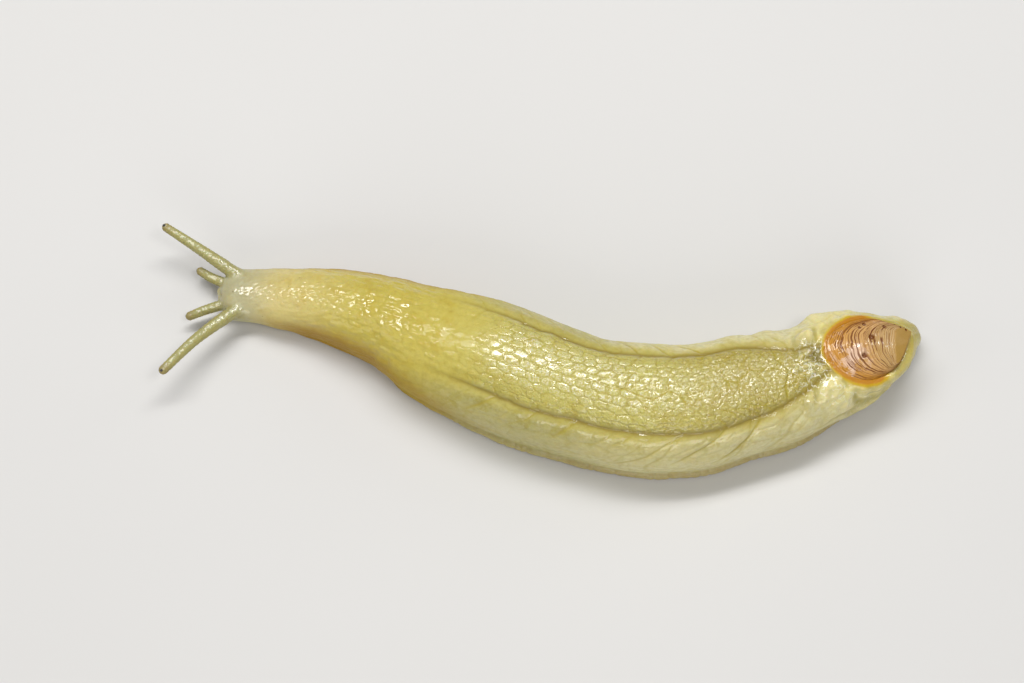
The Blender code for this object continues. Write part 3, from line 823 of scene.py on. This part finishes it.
def wide_cells(body):
    """Large flat cells of the flanks, their lines, and the lines round groups of tubercles on the back."""
    border, _, own = net_cells(body, 64, WIDE_CELL)
    strength = smooth(-0.2, 0.8, body.off_groove) * smooth(12, 20, body.at)
    height = 0.03 * (own - 0.5) * smooth(0.0, 0.8, border) - 0.03 * hump(border, 0.14)
    group = hump(border, GROUP_WIDTH) * stretch(body.at, *GROUP_SPAN) * body.inner
    group = group * smooth(-0.5, 0.3, ripple(body.at * 0.7, body.over * 0.7, 67))
    return height * strength, hump(border, 0.10) * strength, group


def folds(body):
    """Soft folds all over, stronger on the upper flank behind, and fine wrinkles on the neck."""
    upper = smooth(0.1, 0.9, body.off_groove) * smooth(33, 39, body.at)
    upper = upper * np.where(body.side > 0, 1.0, 0.25)
    neck = body.front * smooth(1.5, 8.0, body.at)
    return body.waves(FOLDS) + body.waves(UPPER_FOLDS) * upper + body.waves(NECK_WRINKLES) * neck


def rear_lumps(body):
    """Soft lumps towards the shell, and branched ridges on the wet skin in front of it."""
    lumps = 0.16 * ripple(body.at * 0.85 + 3, body.over * 0.8, 76) * body.rear
    ridge = 1 - np.abs(ripple(body.x * 1.4 + 0.4 * lumps, body.y * 1.4, 77))
    ridge += 0.6 * (1 - np.abs(ripple(body.x * 2.8, body.y * 2.8, 78)))
    return lumps + 0.24 * (np.clip(ridge / 1.6, 0, 1) ** 5 - 0.2) * body.wet


def pillows(body):
    """The swollen skin round the mantle: pillows parted by creases, with the masks for the pillows' pale
    paint, partly painted light, and the creases' painted shade.
    """
    across = body.side - body.z * np.tanh(body.side)
    billow = np.hypot(ripple(body.x * 0.62, across * 0.55, 68), 0.10)
    small = np.hypot(ripple(body.x * 1.2, across * 1.1 + 4, 69), 0.12)
    height = 0.62 * (np.minimum(billow, 0.75) - 0.35) + 0.14 * (small - 0.3)
    zone = body.by_mantle
    return height, {"crease_shade": smooth(0.40, 0.12, billow) * zone, "pillow": smooth(0.2, 0.5, billow) * zone}


def body_relief(body):
    """All the relief of the body's own skin and of the tentacles, and the masks of its lines."""
    zone = body.by_mantle
    bare = (1 - body.tentacle) * smooth(0.5, 1.3, body.z)
    groove, groove_line = groove_cut(body)
    (first, first_line), (second, second_line) = (furrow_cut(body, *family) for family in FURROWS)
    net, masks = tubercles(body)
    wide, wide_line, group_line = wide_cells(body)
    cross_line = cross_creases(body)
    pillow, pillow_masks = pillows(body)
    crumple = body.waves(CRUMPLE) * smooth(24, 29, body.at) * (1 + 1.4 * body.wet) * body.inner
    height = net * (1 - 0.6 * zone) + crumple * (1 - body.tentacle)
    height += wide + folds(body) + rear_lumps(body)
    height -= groove + (first + second) * (1 - 0.85 * zone)
    height -= CREASE_DEPTH * cross_line + GROUP_DEPTH * group_line
    height = (height * (1 - 0.6 * zone) + pillow * zone) * bare
    turn = body.from_tip * 2 * math.pi / RING_PITCH + 0.9 * ripple(body.from_tip * 2, body.z * 3, 75)
    height += RING_HEIGHT * np.sin(turn) * body.tentacle
    oblique = np.maximum.reduce([first_line, 0.5 * second_line, 0.22 * wide_line]) * (1 - 0.85 * zone)
    lines = np.maximum.reduce([oblique, cross_line, 0.7 * group_line]) * (1.1 + 0.6 * body.inner)
    masks["furrow"] = np.clip(lines, 0, 1) * bare
    masks["groove"] = np.clip(groove_line, 0, 1) * bare
    return height, masks | pillow_masks


def mantle_lumps(body):
    """Single lumps and dips round the mantle."""
    height = 0.0
    for x, y, radius, rise in MANTLE_LUMPS:
        height = height + rise * hump(np.hypot(body.x - x, body.y - y), radius)
    return height * smooth(1.2, 3.0, body.z)


def mantle_rim(body):
    """Mask of the orange rim against the shell's front and sides."""
    width = np.where(body.w > 0.8, 0.36, 0.42)
    rim = stretch(body.off_edge, -0.30, -0.05, width * 0.35, width * 1.55)
    rim = rim * stretch(body.up, -0.75, -0.35, 0.9, 1.6)
    return rim * (1 - smooth(0.0, 1.5, body.l)) * body.at_mantle


def fringe_of(body):
    """1 on the foot's thin edge, 0 elsewhere."""
    out = np.abs(body.side) / np.maximum(body.foot_half, 0.3)
    return smooth(0.88, 0.96, out) * smooth(0.95, 0.70, body.z)


def fringe_relief(body):
    """The foot's edge: slow waves and small notches."""
    place = body.at / NOTCH_PITCH + 0.35 * ripple(body.at * 1.1, body.sign * 3, 81)
    number, off = nearest_line(place, NOTCH_PITCH)
    notch = hump(off, NOTCH_WIDTH) * chance(number, body.sign, 82)
    notch = notch * smooth(14, 24, body.at) * smooth(0.05, 0.2, body.z)
    return 0.06 * ripple(body.at * 0.8, body.sign * 7, 83) - NOTCH_DEPTH * notch


def press_relief(skin):
    """Presses the relief into the smooth skin and keeps the masks that its paint reads."""
    data = skin.data
    points = vectors_of(data.vertices, "co")
    normals = vectors_of(data.vertex_normals, "vector")
    body = BodyPlaces(points)
    height, masks = body_relief(body)
    lumps = mantle_lumps(body)
    rim = mantle_rim(body)
    fringe = fringe_of(body)
    mantle = smooth(1.6, 0.0, body.off_lip) * body.at_mantle
    by_lip = smooth(0.75, 0.05, body.off_lip) * body.at_mantle
    height = height * (1 - 0.9 * by_lip) + lumps * (1 - rim) + fringe_relief(body) * fringe
    height -= MOUTH_DEPTH * hump(np.hypot(body.x - MOUTH[0], body.y - MOUTH[1]), MOUTH_WIDTH)
    set_points(data, points + normals * height[:, None])
    relax(data, (0.5, 0.5, 0.4), np.maximum(body.by_mantle, mantle) * (1 - rim))
    masks |= {
        "along": body.at,
        "angle": np.degrees(body.angle),
        "off_groove": body.off_groove,
        "height": body.z,
        "fringe": fringe * (1 - body.tentacle),
        "rim": rim,
        "mantle": mantle,
        "lump": np.clip(lumps / 0.2, 0, 1),
        "dip": np.clip(-lumps / 0.2, 0, 1),
        "wet": body.wet,
        "tentacle": body.tentacle,
        # Upper side of the tentacles, where painted sheen and glints go.
        "upper_sheen": body.tentacle * smooth(0.88, 0.98, normals[:, 2]),
        "from_tip": body.from_tip,
    }
    for name, values in masks.items():
        keep_mask(data, name, values)


# Shell and eyes


def growth_line(share, line):
    """The shell's edge when it was this share of its length. Older edges hug the apex side."""
    apex = line[0]
    down = unit(np.array(SHELL_OUTLINE[3][:2]) - apex)
    back = np.array((-1.0, 0.0))
    parts = np.linalg.solve(np.stack([down, back], axis=1), (line - apex).T).T
    forward = parts[:, 1] / np.maximum(np.abs(parts[:, 0]) + parts[:, 1], 0.01)
    least = SHELL_EDGE_SHARE[0] + (SHELL_EDGE_SHARE[1] - SHELL_EDGE_SHARE[0]) * smooth(0.0, 0.5, forward)
    first = np.where(parts[:, 0] > 0, parts[:, 0] * (least + (1 - least) * share), parts[:, 0] * share)
    return apex + first[:, None] * down + (parts[:, 1] * share)[:, None] * back


def growth_steps(grown, turn):
    """The steps down at the main growth lines, and how dark each broken line is."""
    up = np.zeros(grown.shape)
    dark = np.zeros(grown.shape)
    for place, step, darkness in GROWTH_LINES:
        off = grown - place
        up -= 0.75 * step * (smooth(-0.012, 0.004, off) - smooth(0.0, 0.07, off))
        up -= 0.6 * step * hump(off, 0.005)
        broken = ripple(turn * 14, place * 61, 95) + 0.5 * ripple(turn * 45, place * 31, 90)
        wide = 0.0042 + 0.0085 * smooth(0.0, 0.9, ripple(turn * 11, place * 83, 96))
        line = smooth(wide * 1.5, wide * 0.5, np.abs(off)) * darkness * smooth(-0.35, 0.2, broken)
        dark = np.maximum(dark, line)
    return up, dark


def shell_pits(l, w):
    """The pits with a raised ring round each, and the mask of the deep ones."""
    up = np.zeros(l.shape)
    pit = np.zeros(l.shape)
    for pit_l, pit_w, radius, depth in SHELL_PITS:
        off = np.hypot(l - pit_l, w - pit_w)
        near = hump(off, radius)
        up += 0.25 * depth * hump(off - 1.5 * radius, 0.5 * radius) - depth * near
        pit = np.maximum(pit, near * smooth(0.08, 0.13, depth))
    return up, pit


def shell_face(l, w, share, grown, turn):
    """Height of the shell's upper face with its dome, steps, fine lines, dents and pits, and its masks."""
    away = np.minimum(1.0, np.hypot(l / DOME_HALF[0], w / DOME_HALF[1]))
    up = SHELL_DOME * (1 - away**DOME_POWER) + SHELL_LIFT * smooth(1.0, 0.3, share)
    steps, dark = growth_steps(grown, turn)
    pits, pit = shell_pits(l, w)
    strokes = smooth(0.20, 0.42, ripple(grown * 115, turn * 7, 97)) * smooth(0.30, 0.5, share)
    dark = np.maximum(dark, 0.9 * strokes * smooth(-0.35, 0.3, ripple(share * 4, turn * 6, 98)))
    up += steps + pits
    up += 0.004 * np.sin(grown * 2 * math.pi * 60) * smooth(0.2, 0.3, share)
    up += 0.018 * ripple(l * 4.2, w * 2.6, 99) * smooth(0.22, 0.35, share)
    up += 0.05 * ripple(l * 0.9, w * 0.9, 93) * smooth(0.15, 0.4, share)
    up += 0.015 * ripple(l * 3.1, w * 3.1, 94)
    return up * (smooth(1.003, 0.93, share) * 0.9 + 0.1) + SHELL_EDGE_LEVEL, dark, pit


def shell_skin():
    """The ear-shaped shell: its upper face in rings round the apex, closed by its underside."""
    line = shell_edge(SHELL_AROUND)[0]
    shares = np.linspace(0.004, 1.0, SHELL_RINGS)
    l, w = np.moveaxis(np.stack([growth_line(share, line) for share in shares]), -1, 0)
    share = shares[:, None] + 0 * l
    turn = np.linspace(0, 1, SHELL_AROUND, endpoint=False) + 0 * l
    waver = 0.012 * ripple(l * 1.1 + 9, w * 1.4, 91) + 0.005 * ripple(l * 3, w * 3, 92)
    grown = share + waver * smooth(0.15, 0.4, share)
    up, dark, pit = shell_face(l, w, share, grown, turn)
    top = np.stack([l, w, up], axis=-1)
    under = [np.stack([l[k], w[k], 0 * w[k] - drop], axis=-1) for k, drop in SHELL_UNDERSIDE]
    points, faces = loft(np.concatenate([top, under]))
    shell = new_object("shell_valve", from_shell(points), faces)
    below = len(points) - l.size
    for name, values, fill in (("growth", grown, 1), ("dark", dark, 0), ("pit", pit, 0)):
        keep_mask(shell.data, name, np.concatenate([values.ravel(), np.full(below, fill)]))
    keep_mask(shell.data, "l", points[:, 0])
    # Mask placing the shell's painted highlight, towards its front and a little left of the middle.
    keep_mask(shell.data, "wet", hump(np.hypot(points[:, 0] + 1.9, (points[:, 1] + 0.5) * 0.8), 1.1))
    return shell


def eye_ball(name, centre, ahead):
    """An eye: a ball with a low clear bulge towards the front."""
    direction = ball(25, 40, 88)
    bulge = 1 + 0.06 * smooth(0.6, 0.9, direction @ ahead)
    return new_object(name, *loft(centre + direction * (EYE_RADIUS * bulge)[..., None]))


# Paint


class Value:
    """A shader socket that can be used in sums: each operator adds its own node."""

    def __init__(self, paint, socket):
        self.paint = paint
        self.socket = socket

    def _with(self, operation, one, two=0.0):
        return self.paint.node("ShaderNodeMath", {"operation": operation}, {0: one, 1: two})

    def __add__(self, other):
        return self._with("ADD", self, other)

    def __sub__(self, other):
        return self._with("SUBTRACT", self, other)

    def __rsub__(self, other):
        return self._with("SUBTRACT", other, self)

    def __mul__(self, other):
        return self._with("MULTIPLY", self, other)

    def __abs__(self):
        return self._with("ABSOLUTE", self)

    __radd__ = __add__
    __rmul__ = __mul__

    def sine(self):
        return self._with("SINE", self)

    def step(self, low, high):
        """Eased step from 0 at low to 1 at high."""
        values = {"Value": self, "From Min": low, "From Max": high}
        return self.paint.node("ShaderNodeMapRange", {"interpolation_type": "SMOOTHSTEP"}, values)


class Paint:
    """One material: its nodes, its shader, and the colour that has been laid on so far."""

    def __init__(self, name, first_colour, finish):
        self.material = bpy.data.materials.new(name)
        self.material.use_nodes = True
        self.nodes = self.material.node_tree.nodes
        self.links = self.material.node_tree.links
        self.shader = self.nodes["Principled BSDF"]
        for socket, value in finish.items():
            self.shader.inputs[socket].default_value = value
        self.place = self.node("ShaderNodeTexCoord", out="Object")
        self.colour = first_colour

    def node(self, kind, settings=None, values=None, out=0):
        """Adds a node: its settings first, then the values or links of its sockets. Gives one output."""
        made = self.nodes.new(kind)
        for name, value in (settings or {}).items():
            setattr(made, name, value)
        for socket, value in (values or {}).items():
            self.feed(made.inputs[socket], value)
        return Value(self, made.outputs[out])

    def feed(self, socket, value):
        if isinstance(value, Value):
            self.links.new(value.socket, socket)
        else:
            socket.default_value = value

    def mask(self, name):
        """A value that the mesh keeps at each point."""
        return self.node("ShaderNodeAttribute", {"attribute_name": name}, out="Fac")

    def noise(self, per_mm, detail, roughness):
        """Cloudy noise from 0 to 1, with this many waves to a millimetre."""
        values = {"Vector": self.place, "Scale": per_mm / MM, "Detail": detail, "Roughness": roughness}
        return self.node("ShaderNodeTexNoise", None, values, out="Fac")

    def cells(self, per_mm):
        """Distance from the middles of small cells."""
        return self.node("ShaderNodeTexVoronoi", None, {"Vector": self.place, "Scale": per_mm / MM})

    def mix(self, one, two, share, blend="MIX"):
        """A colour between two, or another blend of them."""
        one, two = (tint if isinstance(tint, Value) else (*tint, 1.0) for tint in (one, two))
        settings = {"data_type": "RGBA", "blend_type": blend}
        return self.node("ShaderNodeMix", settings, {"Factor": share, 6: one, 7: two}, out=2)

    def lay(self, tint, share):
        """Covers this share of the colour so far."""
        self.colour = self.mix(self.colour, tint, share)

    def stain(self, tint, share):
        """Multiplies this share of the colour so far."""
        self.colour = self.mix(self.colour, tint, share, "MULTIPLY")

    def bump(self, height, distance, strength, **under):
        """A Bump node. The distance is in millimetres."""
        values = {"Height": height, "Distance": distance * MM, "Strength": strength, **under}
        return self.node("ShaderNodeBump", None, values)

    def finish(self, **fed):
        """Links the colour, and all else that varies over the surface, to the shader."""
        self.feed(self.shader.inputs["Base Color"], self.colour)
        for socket, value in fed.items():
            self.feed(self.shader.inputs[socket.replace("_", " ")], value)
        return self.material


HEAD = (0.43, 0.40, 0.23)
NECK = (0.60, 0.50, 0.20)
FOREBODY = (0.51, 0.42, 0.075)
FOREBODY_LOW_TONE_AND_SHADE = (0.34, 0.19, 0.010)
BACK = (0.52, 0.465, 0.125)
BACK_REAR = (0.47, 0.40, 0.11)
FLANK = (0.50, 0.43, 0.12)
FLANK_PALE = (0.66, 0.61, 0.33)
GROOVE = (0.27, 0.20, 0.025)
FURROW = (0.40, 0.32, 0.035)
FRINGE = (0.30, 0.21, 0.055)
DIP = (0.25, 0.20, 0.035)
LUMP_TONE_AND_LIGHT = (0.75, 0.67, 0.30)
CREASE_SHADE = (0.40, 0.34, 0.08)
WET_DIP = (0.62, 0.58, 0.40)
SOLE = (0.45, 0.38, 0.17)
RIM = (0.46, 0.19, 0.001)
RIM_OUTER = (0.54, 0.36, 0.01)
SKIRT = (0.54, 0.45, 0.095)
# Painted highlight: the white of glints on wet skin.
PAINTED_GLINT = (0.86, 0.84, 0.66)
TENTACLE = (0.34, 0.31, 0.10)
TENTACLE_SHEEN = (0.42, 0.42, 0.24)
TENTACLE_TIP = (0.27, 0.20, 0.075)
FRONT_FLANK_SHADE = (0.76, 0.76, 0.64)
FINE_STAIN = (0.72, 0.66, 0.45)
PATCH_STAIN = (0.90, 0.82, 0.50)
GAP_SHADE = (0.74, 0.68, 0.40)
BY_GROOVE_SHADE = (0.80, 0.75, 0.50)
SPECK_STAIN = (0.45, 0.40, 0.25)


class SkinPaint(Paint):
    """Wet slug skin, with the masks and noises that several of its layers share."""

    def __init__(self):
        finish = {
            "Subsurface Weight": 0.32,
            "Subsurface Radius": (1.0, 0.62, 0.18),
            "Subsurface Scale": 0.0005,
            "IOR": 1.5,
            "Specular IOR Level": 0.3,
            "Coat Roughness": 0.035,
            "Coat IOR": 1.6,
        }
        super().__init__("wet_yellow_skin", HEAD, finish)
        self.along = self.mask("along")
        self.off_groove = self.mask("off_groove")
        self.angle = abs(self.mask("angle"))
        self.wet = self.mask("wet")
        self.tentacle = self.mask("tentacle")
        self.cloud = self.noise(0.35, 3.0, 0.55)
        self.patch = self.noise(0.75, 4.0, 0.6)
        self.fine = self.noise(2.6, 4.0, 0.65)


def back_and_flank_colours(paint):
    """Grey-green head, creamy neck, yellow back, and paler mottled flanks that start behind the forebody,
    with painted shade on the flanks in front.
    """
    along, off_groove, cloud = paint.along, paint.off_groove, paint.cloud
    paint.lay(NECK, along.step(1.4, 5.6))
    paint.lay(FOREBODY, (along + cloud * 4).step(5.0, 15.0))
    paint.lay(BACK, (along + cloud * 4).step(17.0, 30.0))
    paint.lay(BACK_REAR, (along + cloud * 4).step(38.0, 46.0))
    pale = (paint.patch + off_groove * 0.09 + along.step(37.0, 44.0) * 0.14).step(0.40, 0.85)
    behind = along.step(17.0, 25.0)
    paint.lay(paint.mix(FLANK, FLANK_PALE, pale), off_groove.step(-0.3, 1.2) * behind * 0.9)
    mottle = paint.noise(1.7, 4.0, 0.65).step(0.48, 0.64) * off_groove.step(0.2, 1.2)
    paint.lay(FLANK_PALE, mottle * behind * 0.5)
    # Painted shade: the flanks darker between the forebody and the middle of the body.
    front_flank = off_groove.step(0.0, 1.0) * (1 - along.step(28.0, 38.0)) * along.step(18.0, 24.0)
    paint.stain(FRONT_FLANK_SHADE, front_flank)


def low_colours(paint):
    """Orange-brown low on the forebody, partly painted shade of its lower flank, the skirt of the mantle, and
    the sole.
    """
    along, height = paint.along, paint.mask("height")
    # Orange-brown on the lower flank of the forebody: partly its own colour, partly painted shade, stronger
    # lower down.
    reach = paint.angle + height * -6.0 + along.step(5.0, 13.0) * (1 - along.step(17.0, 24.0)) * 14.0
    low = reach.step(24.0, 80.0) * (1 - (along + paint.cloud * 8).step(15.0, 33.0)) * along.step(2.0, 8.0)
    paint.lay(FOREBODY_LOW_TONE_AND_SHADE, low * 0.92)
    paint.lay(SKIRT, paint.mask("mantle").step(0.3, 0.9) * 0.8)
    paint.lay(SOLE, height.step(0.35, 0.02))


def skin_stains_and_gap_shade(paint):
    """Fine stains, weaker on the head, wide stains, and painted shade in the gaps between the tubercles."""
    paint.stain(FINE_STAIN, paint.fine.step(0.42, 0.72) * (0.12 + paint.along.step(8.0, 20.0) * 0.23))
    paint.stain(PATCH_STAIN, paint.patch.step(0.45, 0.70) * 0.6)
    # Painted shade in the gaps between the tubercles.
    paint.stain(GAP_SHADE, paint.mask("gap") * 0.5)


def lump_and_line_colours(paint):
    """Pale lumps and pillows, partly painted light; darker dips, furrows, painted shade in the pillows'
    creases and beside the grooves, and the two dark grooves.
    """
    shade = paint.patch * 0.8
    # Pale lumps and pillows: partly their own pale colour, partly painted light on the raised skin.
    paint.lay(LUMP_TONE_AND_LIGHT, paint.mask("lump") * 0.6 + paint.mask("pillow") * 0.55)
    paint.stain(WET_DIP, paint.wet * (paint.fine + paint.cloud).step(0.85, 1.15) * 0.5)
    paint.lay(FURROW, paint.mask("furrow") * 0.95)
    # Painted shade in the creases between the pillows.
    paint.lay(CREASE_SHADE, paint.mask("crease_shade") * (0.45 + shade))
    paint.lay(DIP, paint.mask("dip") * (0.6 + shade))
    # Painted shade: a soft dark band beside the grooves, where they sink in.
    beside = abs(paint.off_groove).step(0.75, 0.0) * paint.along.step(24.0, 30.0)
    paint.stain(BY_GROOVE_SHADE, beside * 0.6)
    paint.lay(GROOVE, paint.mask("groove") * 0.95)


def edge_colours(paint):
    """The foot's brown fringe behind, and the orange rim against the shell."""
    fringe = paint.mask("fringe") * paint.along.step(22.0, 34.0)
    paint.lay(FRINGE, fringe * (0.35 + paint.fine * 0.5))
    rim = paint.mask("rim") + (paint.fine - 0.5) * 0.25
    paint.lay(RIM_OUTER, rim.step(0.05, 0.40))
    paint.lay(RIM, rim.step(0.35, 0.90))


def tentacle_colours(paint):
    """Grey-yellow tentacles with painted sheen and dashed painted glints along their upper side, and a brown
    tip.
    """
    upper_sheen = paint.mask("upper_sheen")
    paint.lay(TENTACLE, paint.tentacle * 0.85)
    # Painted sheen and dashed painted glints where the tentacle faces up.
    paint.lay(TENTACLE_SHEEN, upper_sheen * 0.45)
    paint.lay(PAINTED_GLINT, upper_sheen * paint.noise(4.5, 2.0, 0.6).step(0.49, 0.56) * 0.6)
    paint.lay(TENTACLE_TIP, paint.tentacle * paint.mask("from_tip").step(1.3, 0.2) * 0.6)


def glints_and_specks(paint):
    """Painted highlights: white glint squiggles before the shell and speckled glints on the tops of the
    tubercles; and dark specks on the head.
    """
    # Painted highlight: thin white squiggles like glints on the wet skin before the shell.
    bend = abs(paint.noise(1.25, 2.0, 0.5) - 0.5)
    squiggle = bend.step(0.034, 0.012) * paint.fine.step(0.42, 0.52) * paint.wet
    paint.lay(PAINTED_GLINT, squiggle * paint.mask("rim").step(0.12, 0.0) * 0.95)
    # Painted highlight: speckled white glints on the tops of the tubercles along the top of the back.
    tops = paint.mask("top") * paint.noise(7.0, 3.0, 0.7).step(0.46, 0.60)
    paint.lay(PAINTED_GLINT, tops * (1 - paint.mask("furrow")) * 0.52)
    paint.stain(SPECK_STAIN, paint.cells(1.1).step(0.10, 0.05) * (1 - paint.along.step(5.0, 9.0)) * 0.6)


def skin_paint():
    """Wet slug skin: yellow, paler on the flanks, darker in the grooves, orange at the mantle's lip."""
    paint = SkinPaint()
    back_and_flank_colours(paint)
    low_colours(paint)
    skin_stains_and_gap_shade(paint)
    lump_and_line_colours(paint)
    edge_colours(paint)
    tentacle_colours(paint)
    glints_and_specks(paint)
    along, off_groove = paint.along, paint.off_groove
    on_back = off_groove.step(0.2, -0.9) * along.step(20.5, 24.5)
    pores = paint.noise(5.0, 2.0, 0.6) * (0.22 + on_back * 0.78 + paint.tentacle * 0.6)
    normal = paint.bump(pores, 0.17, 0.85)
    normal = paint.bump(paint.noise(10.0, 2.0, 0.6), 0.015, 0.7, Normal=normal)
    less_wet = along.step(15.0, 18.0) * (1 - along.step(22.0, 24.5))
    dry = paint.angle.step(44.0, 78.0) * (0.95 - along.step(14.0, 24.0) * 0.25)
    roughness = 0.34 + paint.fine * 0.12 - on_back * 0.22 + less_wet * 0.22 + dry * 0.22
    film = 0.35 + paint.noise(1.3, 2.0, 0.55).step(0.38, 0.56) * 0.6
    coat = film * (1 - less_wet * 0.72) * (1 - paint.mask("rim") * 0.6) * (1 - dry)
    groove_lip = off_groove.step(-0.1, 0.1) * off_groove.step(1.0, 0.5) * along.step(40.0, 44.0)
    coat = coat * (1 - groove_lip * 0.75) + paint.wet * 0.4
    return paint.finish(Roughness=roughness, Normal=normal, Coat_Weight=coat)


SHELL_AMBER = (0.53, 0.25, 0.03)
SHELL_TAN = (0.48, 0.295, 0.10)
SHELL_MIDDLE = (0.58, 0.335, 0.12)
SHELL_LENS = (0.37, 0.22, 0.05)
SHELL_DARK = (0.15, 0.038, 0.003)
SHELL_SHEEN = (0.78, 0.57, 0.44)
SHELL_PALE = (0.66, 0.50, 0.30)
BAND_STAIN = (0.72, 0.60, 0.42)
SHELL_STAIN = (0.70, 0.55, 0.38)
SHELL_FRONT_STAIN = (0.80, 0.68, 0.50)


def shell_paint():
    """Horny shell: amber at the front edge, tan towards the apex, with dark growth lines and pits, and
    painted pinkish highlights.
    """
    finish = {"IOR": 1.5, "Specular IOR Level": 0.2, "Coat Roughness": 0.08, "Coat IOR": 1.6}
    paint = Paint("horny_shell", SHELL_LENS, finish)
    growth, wet, dark = (paint.mask(name) for name in ("growth", "wet", "dark"))
    cloud = paint.noise(0.8, 4.0, 0.6)
    fine = paint.noise(4.0, 4.0, 0.65)
    paint.lay(SHELL_TAN, growth.step(0.19, 0.24))
    paint.lay(SHELL_MIDDLE, (growth + cloud * 0.3).step(0.55, 0.80))
    paint.lay(SHELL_AMBER, (growth + cloud * 0.3).step(0.80, 1.08))
    # Painted highlight: pinkish-white patches of reflection, strongest where the wet mask is high.
    sheen_patches = (cloud + fine * 0.4 + wet * 0.16).step(0.76, 0.86) * growth.step(0.3, 0.6)
    paint.lay(SHELL_SHEEN, sheen_patches * (0.35 + wet * 0.45))
    band = ((growth + cloud * 0.02) * 260.0).sine()
    lined = growth.step(0.20, 0.26)
    paint.stain(BAND_STAIN, band.step(0.1, 0.9) * lined * 0.35)
    paint.lay(SHELL_PALE, band.step(-0.4, -0.95) * lined * growth.step(0.48, 0.30) * 0.6)
    paint.stain(SHELL_STAIN, fine.step(0.5, 0.8) * 0.5)
    paint.lay(SHELL_DARK, dark * 0.96)
    paint.lay(SHELL_DARK, paint.mask("pit").step(0.18, 0.55) * 0.85)
    paint.stain(SHELL_FRONT_STAIN, paint.mask("l").step(-3.2, -3.6) * 0.4)
    coat = (0.12 + lined * 0.45) * (1 - dark * 0.8)
    return paint.finish(Roughness=0.30 + cloud * 0.25, Normal=paint.bump(fine, 0.03, 0.5), Coat_Weight=coat)


def eye_paint():
    """Black eye under clear skin."""
    paint = Paint("black_eye", (0.006, 0.005, 0.005), {"Coat Weight": 1.0, "Coat Roughness": 0.05})
    cloud = paint.noise(6.0, 2.0, 0.55)
    paint.lay((0.022, 0.016, 0.012), cloud)
    return paint.finish(Roughness=0.12 + cloud * 0.1)


def floor_paint():
    paint = Paint("pale_floor", (0.60, 0.59, 0.575), {"Roughness": 0.7})
    paint.lay((0.63, 0.62, 0.605), paint.noise(0.02, 2.0, 0.55))
    return paint.finish()


# Camera, light and floor

CAMERA_TARGET = (-2.44, 0.743, 3.0)
CAMERA_ELEVATION = math.radians(73)
CAMERA_DISTANCE = 231.0
CAMERA_FOCAL = 100.0
FLOOR_HALF = 600.0
WHITE = (1, 1, 1)
# Soft lights: name, place, size, power, colour.
SOFTBOXES = (
    ("overhead_box", (-30, 118, 292), (340, 62), 0.70, WHITE),
    ("rear_overhead_box", (75, -55, 300), (80, 50), 0.15, WHITE),
    ("small_box", (-20, 112, 294), (150, 16), 0.17, WHITE),
    ("front_box", (20, -280, 150), (260, 160), 0.35, WHITE),
    ("side_box", (-260, -80, 200), (160, 160), 0.09, (1.0, 0.97, 0.92)),
    ("rear_box", (240, 160, 160), (120, 120), 0.09, (0.94, 0.97, 1.0)),
)
SKY_COLOUR = (1.0, 0.99, 0.97, 1)
SKY_STRENGTH = 0.20


def place_camera():
    data = bpy.data.cameras.new("camera")
    data.lens = CAMERA_FOCAL
    data.sensor_width = 36.0
    data.clip_start = 0.01
    data.clip_end = 10.0
    camera = put("camera", data)
    back = Vector((0, -math.cos(CAMERA_ELEVATION), math.sin(CAMERA_ELEVATION)))
    camera.location = (Vector(CAMERA_TARGET) + back * CAMERA_DISTANCE) * MM
    camera.rotation_euler = (math.pi / 2 - CAMERA_ELEVATION, 0, 0)
    bpy.context.scene.camera = camera


def softbox(name, place, size, power, colour):
    """A wide soft light, aimed at the middle of the floor under the animal."""
    data = bpy.data.lights.new(name, "AREA")
    data.shape = "RECTANGLE"
    data.size, data.size_y = (side * MM for side in size)
    data.energy = power
    data.color = colour
    light = put(name, data)
    light.location = Vector(place) * MM
    light.rotation_euler = (-Vector(place)).to_track_quat("-Z", "Y").to_euler()


def light_stage():
    for row in SOFTBOXES:
        softbox(*row)
    world = bpy.data.worlds.new("studio")
    world.use_nodes = True
    sky = world.node_tree.nodes["Background"]
    sky.inputs["Color"].default_value = SKY_COLOUR
    sky.inputs["Strength"].default_value = SKY_STRENGTH
    bpy.context.scene.world = world
    bpy.context.scene.view_settings.view_transform = "Standard"


def lay_floor():
    half = FLOOR_HALF
    corners = np.array([(-half, -half, 0), (half, -half, 0), (half, half, 0), (-half, half, 0)], float)
    floor = new_object("floor", corners * MM, [[0, 1, 2, 3]])
    floor.location.z = -0.01 * MM
    floor.data.materials.append(floor_paint())


# Making the model


def settle(piece, paint, slot, *nodes):
    """Brings a piece from millimetres to metres, gives it its finish and puts it in place of its solids."""
    piece.data.transform(Matrix.Scale(MM, 4))
    piece.data.materials.clear()
    piece.data.materials.append(paint)
    piece.data.shade_smooth()
    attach(piece, "root")
    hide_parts(*nodes)


SKIN_NODES = (
    "head", "neck", "forebody", "midbody", "hindbody", "tail",
    "foot_front", "foot_middle", "foot_rear", "mantle", *TENTACLES,
)


def main():
    place_camera()
    skin = smooth_skin()
    press_relief(skin)
    settle(skin, skin_paint(), "flesh", *SKIN_NODES)
    settle(shell_skin(), shell_paint(), "shell", "shell")
    black = eye_paint()
    for side in ("left", "right"):
        eye = eye_ball("eye_spot_" + side, *eye_place("upper_tentacle_" + side))
        settle(eye, black, "eye", "eye_" + side)
    lay_floor()
    light_stage()


main()
